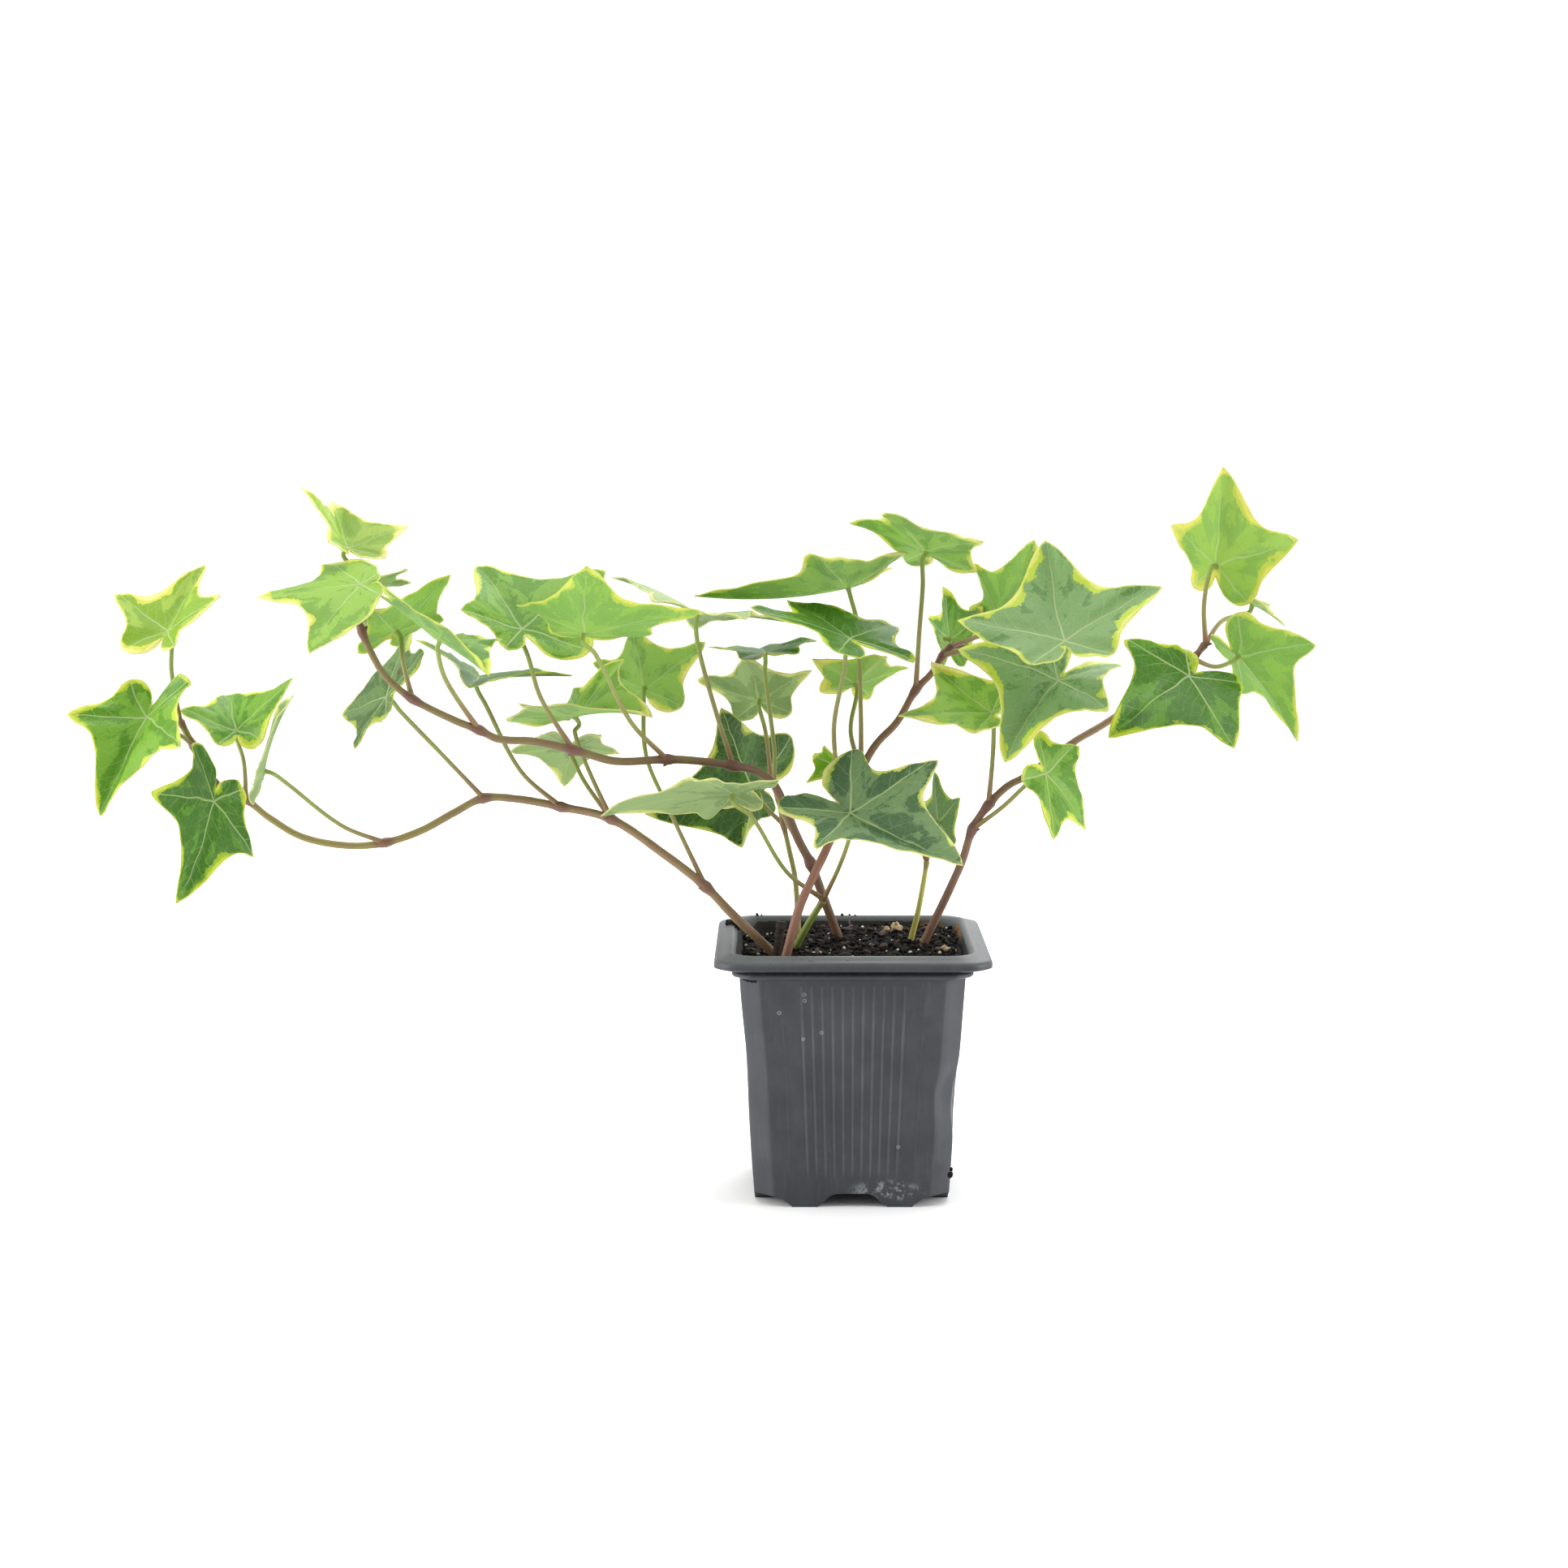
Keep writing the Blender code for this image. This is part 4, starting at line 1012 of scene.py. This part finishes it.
def pot_material():
    """Dark moulded plastic with dust, dried drops, scale near the foot, painted highlights on the ribs and
    the rim's top, and painted shade inside the mouth.
    """
    material, tree, sockets = new_material("moulded_pot_plastic")
    point = object_point(tree)
    x, y, z = split(point)
    across, deep = abs(x), abs(y)
    streaks = mottle(point * (1.0, 1.0, 0.05), 0.7, 3, 0.6)
    cloud = mottle(point, 0.07, 4, 0.6)
    grain = mottle(point, 2.6, 3, 0.7)
    colour = tint(ramp(cloud, 0.3, 0.75), (47, 48, 53), (58, 59, 64))
    colour = tint(ramp(streaks, 0.5, 0.8) * 0.07, colour, (112, 114, 120))
    # painted highlight along the rib ridges, whose places widen with the wall as in pot_ring
    spacing = z * (RIB_SPACING * (NECK_HALF - FOOT_HALF) / NECK_HEIGHT)
    spacing = spacing + RIB_SPACING * (FOOT_HALF - CORNER_CUT - WALL_ROUNDING)
    count = calc("MINIMUM", across, deep) / spacing
    rib_highlight = ramp(abs(count - calc("ROUND", count)), 0.17, 0.05) * (count < 5.5)
    rib_highlight = rib_highlight * (z < NECK_HEIGHT - 2) * ramp(z, 8.0, 13.0) * (cloud * 0.4)
    colour = tint(rib_highlight, colour, (104, 106, 112))
    top = ramp(z, POT_HEIGHT - 3.4, POT_HEIGHT - 1)
    # painted highlight: the rim's top band lightened towards pale grey and broken up by grain, as if lit from
    # above
    colour = tint(top * (grain * 0.5 + 0.10), colour, (122, 126, 128))
    inside = (calc("MAXIMUM", across, deep) < MOUTH_HALF) * (across + deep < MOUTH_SLANT)
    inside = inside * ramp(z, NECK_HEIGHT + 1.2, NECK_HEIGHT + 1.6)
    # painted shade: the inner wall of the mouth, up to a wavy line above the soil, darkened towards black
    painted_mouth_shade = inside * (z < mottle(point, 0.3, 3) * 3.0 + (POT_HEIGHT - 3.2))
    colour = tint(painted_mouth_shade * 0.85, colour, (26, 21, 19))
    drops = 0.0
    for side, up in DRIED_DROPS:
        ring = abs(distance(point, (side, -wall_half(up), up)) - DROP_RADIUS)
        drops = calc("MAXIMUM", drops, ramp(ring, 0.26, 0.10))
    colour = tint(drops * 0.42, colour, (150, 152, 156))
    crust = ramp(mottle(point, 0.30, 5, 0.7), 0.50, 0.60)
    crust = near_mask(point, (11, -32, 5.2), 14, (1.0, 1.0, 3.0)) * crust
    colour = tint(crust * 0.6, colour, (158, 162, 166))
    stain = ramp(mottle(point, 0.25, 4, 0.7), 0.40, 0.56)
    stain = near_mask(point, (35, 27, 80.5), 17, (1.0, 0.8, 1.0)) * stain * inside
    colour = tint(stain * 0.85, colour, (140, 98, 54))
    specks = ramp(mottle(point, 0.9, 2), 0.66, 0.70)
    colour = tint(specks * (top * 0.8), colour, (50, 42, 38))
    rough = calc("MAXIMUM", grain * 0.22 + 0.36, calc("MAXIMUM", crust, painted_mouth_shade) * 0.85)
    height = grain * 0.35 + streaks * 0.08 + drops * 0.6 + crust
    plug(sockets, {"Base Color": colour, "Roughness": rough, "Specular IOR Level": 0.34,
                   "Normal": bump(height, 0.16, 0.5)})
    return material


# ---------------------------------------------------------------- soil

def soil_height(x, y):
    """Height of the soil's crumbly top: a low mound at the back, a hollow to the left, and clods."""
    place = Vector((x, y, 0))
    mound = 1.5 * math.exp(-(((x - 6) / 22) ** 2 + ((y - 10) / 20) ** 2))
    mound -= 2.6 / (1 + math.exp((x + 16) / 4))
    clods = noise.fractal(place * 0.16, 0.8, 2.2, 4) * 1.1
    grit = noise.noise(place * 0.9 + Vector((7, 3, 1))) * 0.35
    return SOIL_LEVEL + mound + clods + grit


def in_mouth(x, y, margin):
    """Whether a point on the soil is inside the pot's mouth, with its cut corners."""
    half = SOIL_HALF - margin
    return abs(x) < half and abs(y) < half and abs(x) + abs(y) < 2 * half - 4


def build_soil():
    """The soil: its crumbly top, turned down at the edge, and sides that narrow with the pot."""
    half = SOIL_HALF - 0.6
    limit = 2 * half - 4.5
    bm = bmesh.new()
    bmesh.ops.create_grid(bm, x_segments=110, y_segments=110, size=half)
    for vert in bm.verts:
        x, y = vert.co.xy
        share = min(1, limit / max(abs(x) + abs(y), 1))
        x, y = x * share, y * share
        vert.co = (x, y, soil_height(x, y) - 0.8 * max(0, (max(abs(x), abs(y)) - 33) / 3) ** 2)
    edges = [edge for edge in bm.edges if edge.is_boundary]
    for height, share in SOIL_SIDES:
        grown = bmesh.ops.extrude_edge_only(bm, edges=edges)["geom"]
        edges = [one for one in grown if isinstance(one, bmesh.types.BMEdge)]
        for vert in (one for one in grown if isinstance(one, bmesh.types.BMVert)):
            vert.co = (vert.co.x * share, vert.co.y * share, height)
    bmesh.ops.holes_fill(bm, edges=edges)
    bmesh.ops.recalc_face_normals(bm, faces=bm.faces)
    finish_piece("soil_mass", bm, [peat_material("peat", (13, 10, 9), (38, 27, 22))],
                 "potting_soil", "potting_soil")


@cache
def peat_group():
    """Peat: pale fibres in patches, and painted shade in the gaps between grains."""
    group, given, result = new_group("peat_grain", ("Point",), ("Fibre", "Gap Shade", "Rough", "Height"))
    coarse = mottle(given["Point"], 0.5, 5, 0.75)
    grains = cells(given["Point"], 0.9)
    plug(result, {"Fibre": ramp(coarse, 0.45, 0.75), "Gap Shade": ramp(grains, 0.7, 0.1),
                  "Rough": coarse * 0.3 + 0.68, "Height": coarse + grains})
    return group


def peat_material(name, dark, light):
    material, tree, sockets = new_material(name)
    peat = use_group(peat_group(), {"Point": object_point(tree)})
    # painted shade darkens the gaps between grains
    colour = tint(peat["Gap Shade"] * 0.4, tint(peat["Fibre"], dark, light), tuple(value // 2 for value in dark))
    plug(sockets, {"Base Color": colour, "Roughness": peat["Rough"], "Specular IOR Level": 0.18,
                   "Normal": bump(peat["Height"], 0.5, 0.9)})
    return material


@cache
def grit_group():
    """Fine speckles and broad patches, for bark and perlite."""
    group, given, result = new_group("grit_speckle", ("Point", "Scale"), ("Speckle", "Patch"))
    plug(result, {"Speckle": mottle(given["Point"], given["Scale"], 4, 0.7),
                  "Patch": mottle(given["Point"], given["Scale"] * 0.15, 2)})
    return group


def grit_material(name, base, dark, rough, scale):
    material, tree, sockets = new_material(name)
    grit = use_group(grit_group(), {"Point": object_point(tree), "Scale": scale})
    colour = tint(ramp(grit["Speckle"], 0.4, 0.7), dark, base)
    plug(sockets, {"Base Color": tint(grit["Patch"] * 0.5, colour, dark),
                   "Roughness": grit["Speckle"] * 0.15 + rough, "Normal": bump(grit["Speckle"], 0.2, 0.7)})
    return material


def scatter(name, count, sizes, squash, material, draw, sink=0.3, rough=0.25):
    """Many small lumps on the soil, each turned and squashed in its own way."""
    bm = bmesh.new()
    placed = 0
    while placed < count:
        x, y = draw.uniform(-SOIL_HALF, SOIL_HALF), draw.uniform(-SOIL_HALF, SOIL_HALF)
        if not in_mouth(x, y, 1.4):
            continue
        placed += 1
        size = draw.uniform(*sizes) * draw.uniform(0.6, 1.0)
        spin = Euler([draw.uniform(-0.5, 0.5), draw.uniform(-0.5, 0.5), draw.uniform(0, math.tau)])
        scale = Vector([size * draw.uniform(*pair) for pair in squash])
        place = Vector((x, y, soil_height(x, y) + size * (1 - 2 * sink) * 0.5))
        matrix = Matrix.LocRotScale(place, spin, scale)
        add_lump(bm, place, 0.5, matrix, 2 if count < 200 else 1, rough, 2.2 / size)
    finish_piece(name, bm, [material], None, "potting_soil", smooth=False)


def lumps(name, places, detail, roughness, grain, material):
    """A piece of round lumps at the given places, each with its size."""
    bm = bmesh.new()
    for place, size in places:
        matrix = Matrix.Translation(Vector(place))
        add_lump(bm, Vector(place), size / 2, matrix, detail, roughness, grain)
    finish_piece(name, bm, [material], None, "potting_soil", smooth=False)


def build_debris():
    """A dead stub, crumbs spilled on the rim and against the pot, and four larger chunks."""
    bm = bmesh.new()
    route = smooth_route(DEAD_STUB, 6)
    radii = [1.5 + 0.25 * noise.noise(place * 0.9) for place in route]
    add_tube(bm, route, radii, 9, [], [])
    for vert in bm.verts:
        vert.co += Vector((0.3, 0.3, 0.5)) * noise.noise(vert.co * 1.7)
    finish_piece("dead_stub", bm, [grit_material("dead_bark", (62, 44, 34), (26, 19, 15), 0.8, 1.2)],
                 None, "potting_soil", smooth=False)
    lumps("spilled_crumbs", RIM_CRUMBS, 2, 0.7, 1.1,
          peat_material("spilled_peat", (20, 15, 13), (58, 42, 32)))
    chunks = [((x, y, soil_height(x, y) + size * 0.35), size) for x, y, size in PALE_CHUNKS]
    lumps("pale_chunks", chunks, 3, 0.6, 0.8,
          grit_material("perlite_chunk", (214, 196, 160), (150, 122, 88), 0.8, 0.9))


# ---------------------------------------------------------------- setting

def build_setting():
    """A pale floor, a bright sky that is darker behind the camera, four lamps and the camera."""
    material, _, sockets = new_material("pale_floor")
    plug(sockets, {"Base Color": (0.93, 0.93, 0.93, 1), "Roughness": 0.75})
    bm = bmesh.new()
    bmesh.ops.create_grid(bm, x_segments=1, y_segments=1, size=FLOOR_HALF)
    finish_piece("pale_floor", bm, [material])

    scene = bpy.context.scene
    scene.world = bpy.data.worlds.new("studio")
    scene.world.use_nodes = True
    sky = scene.world.node_tree
    _, back, _ = split(Field(add_node(sky, "ShaderNodeTexCoord").outputs["Generated"]))
    plug(sky.nodes["Background"].inputs, {"Color": (1, 1, 1, 1),
                                          "Strength": ramp(back, -0.75, 0.25) * 0.54 + 0.60})
    for name, place, aim, size, power in LAMPS:
        lamp = bpy.data.lights.new(name, "AREA")
        lamp.shape = "DISK"
        lamp.size = size
        lamp.energy = power
        light = bpy.data.objects.new(name, lamp)
        scene.collection.objects.link(light)
        light.location = place
        light.rotation_euler = (Vector(aim) - Vector(place)).to_track_quat("-Z", "Y").to_euler()

    camera = bpy.data.objects.new("camera", bpy.data.cameras.new("camera"))
    camera.data.lens = 67.0
    camera.data.sensor_width = 36.0
    camera.location = (-0.0218, -0.9414, 0.2478)
    camera.rotation_euler = (math.radians(90 - CAMERA_DIP), 0, 0)
    scene.collection.objects.link(camera)
    scene.camera = camera
    scene.view_settings.view_transform = "Standard"


def main():
    build_setting()
    build_pot()
    build_soil()
    draw = random.Random(7)
    scatter("soil_crumbs", 1500, (0.6, 2.6), ((0.7, 1.5), (0.6, 1.1), (0.5, 0.9)),
            peat_material("peat_crumb", (16, 12, 10), (46, 32, 26)), draw)
    scatter("bark_bits", 130, (1.4, 4.6), ((0.9, 1.5), (0.3, 0.6), (0.2, 0.4)),
            grit_material("bark", (98, 68, 50), (44, 30, 23), 0.75, 1.6), draw, sink=0.2)
    scatter("perlite", 75, (0.6, 1.5), ((0.8, 1.2), (0.8, 1.2), (0.7, 1.1)),
            grit_material("perlite", (232, 230, 224), (190, 186, 176), 0.8, 1.4), draw, 0.15, 0.35)
    build_debris()
    for name in STEMS:
        build_stem(name, bark_material(f"bark_{name}", *BARK[name]), draw)
    stalk = bark_material("leaf_stalk", (128, 148, 62), (132, 126, 70), (124, 92, 64))
    pattern = blade_pattern(sum(SPANS) * 2)
    for stem, rows in LEAVES.items():
        for number, row in enumerate(rows, 1):
            build_leaf(f"leaf_{stem}_{number}", stem, row, pattern, stalk, random.Random(f"{stem} {number}"))
    bpy.data.meshes.remove(pattern[0])


main()
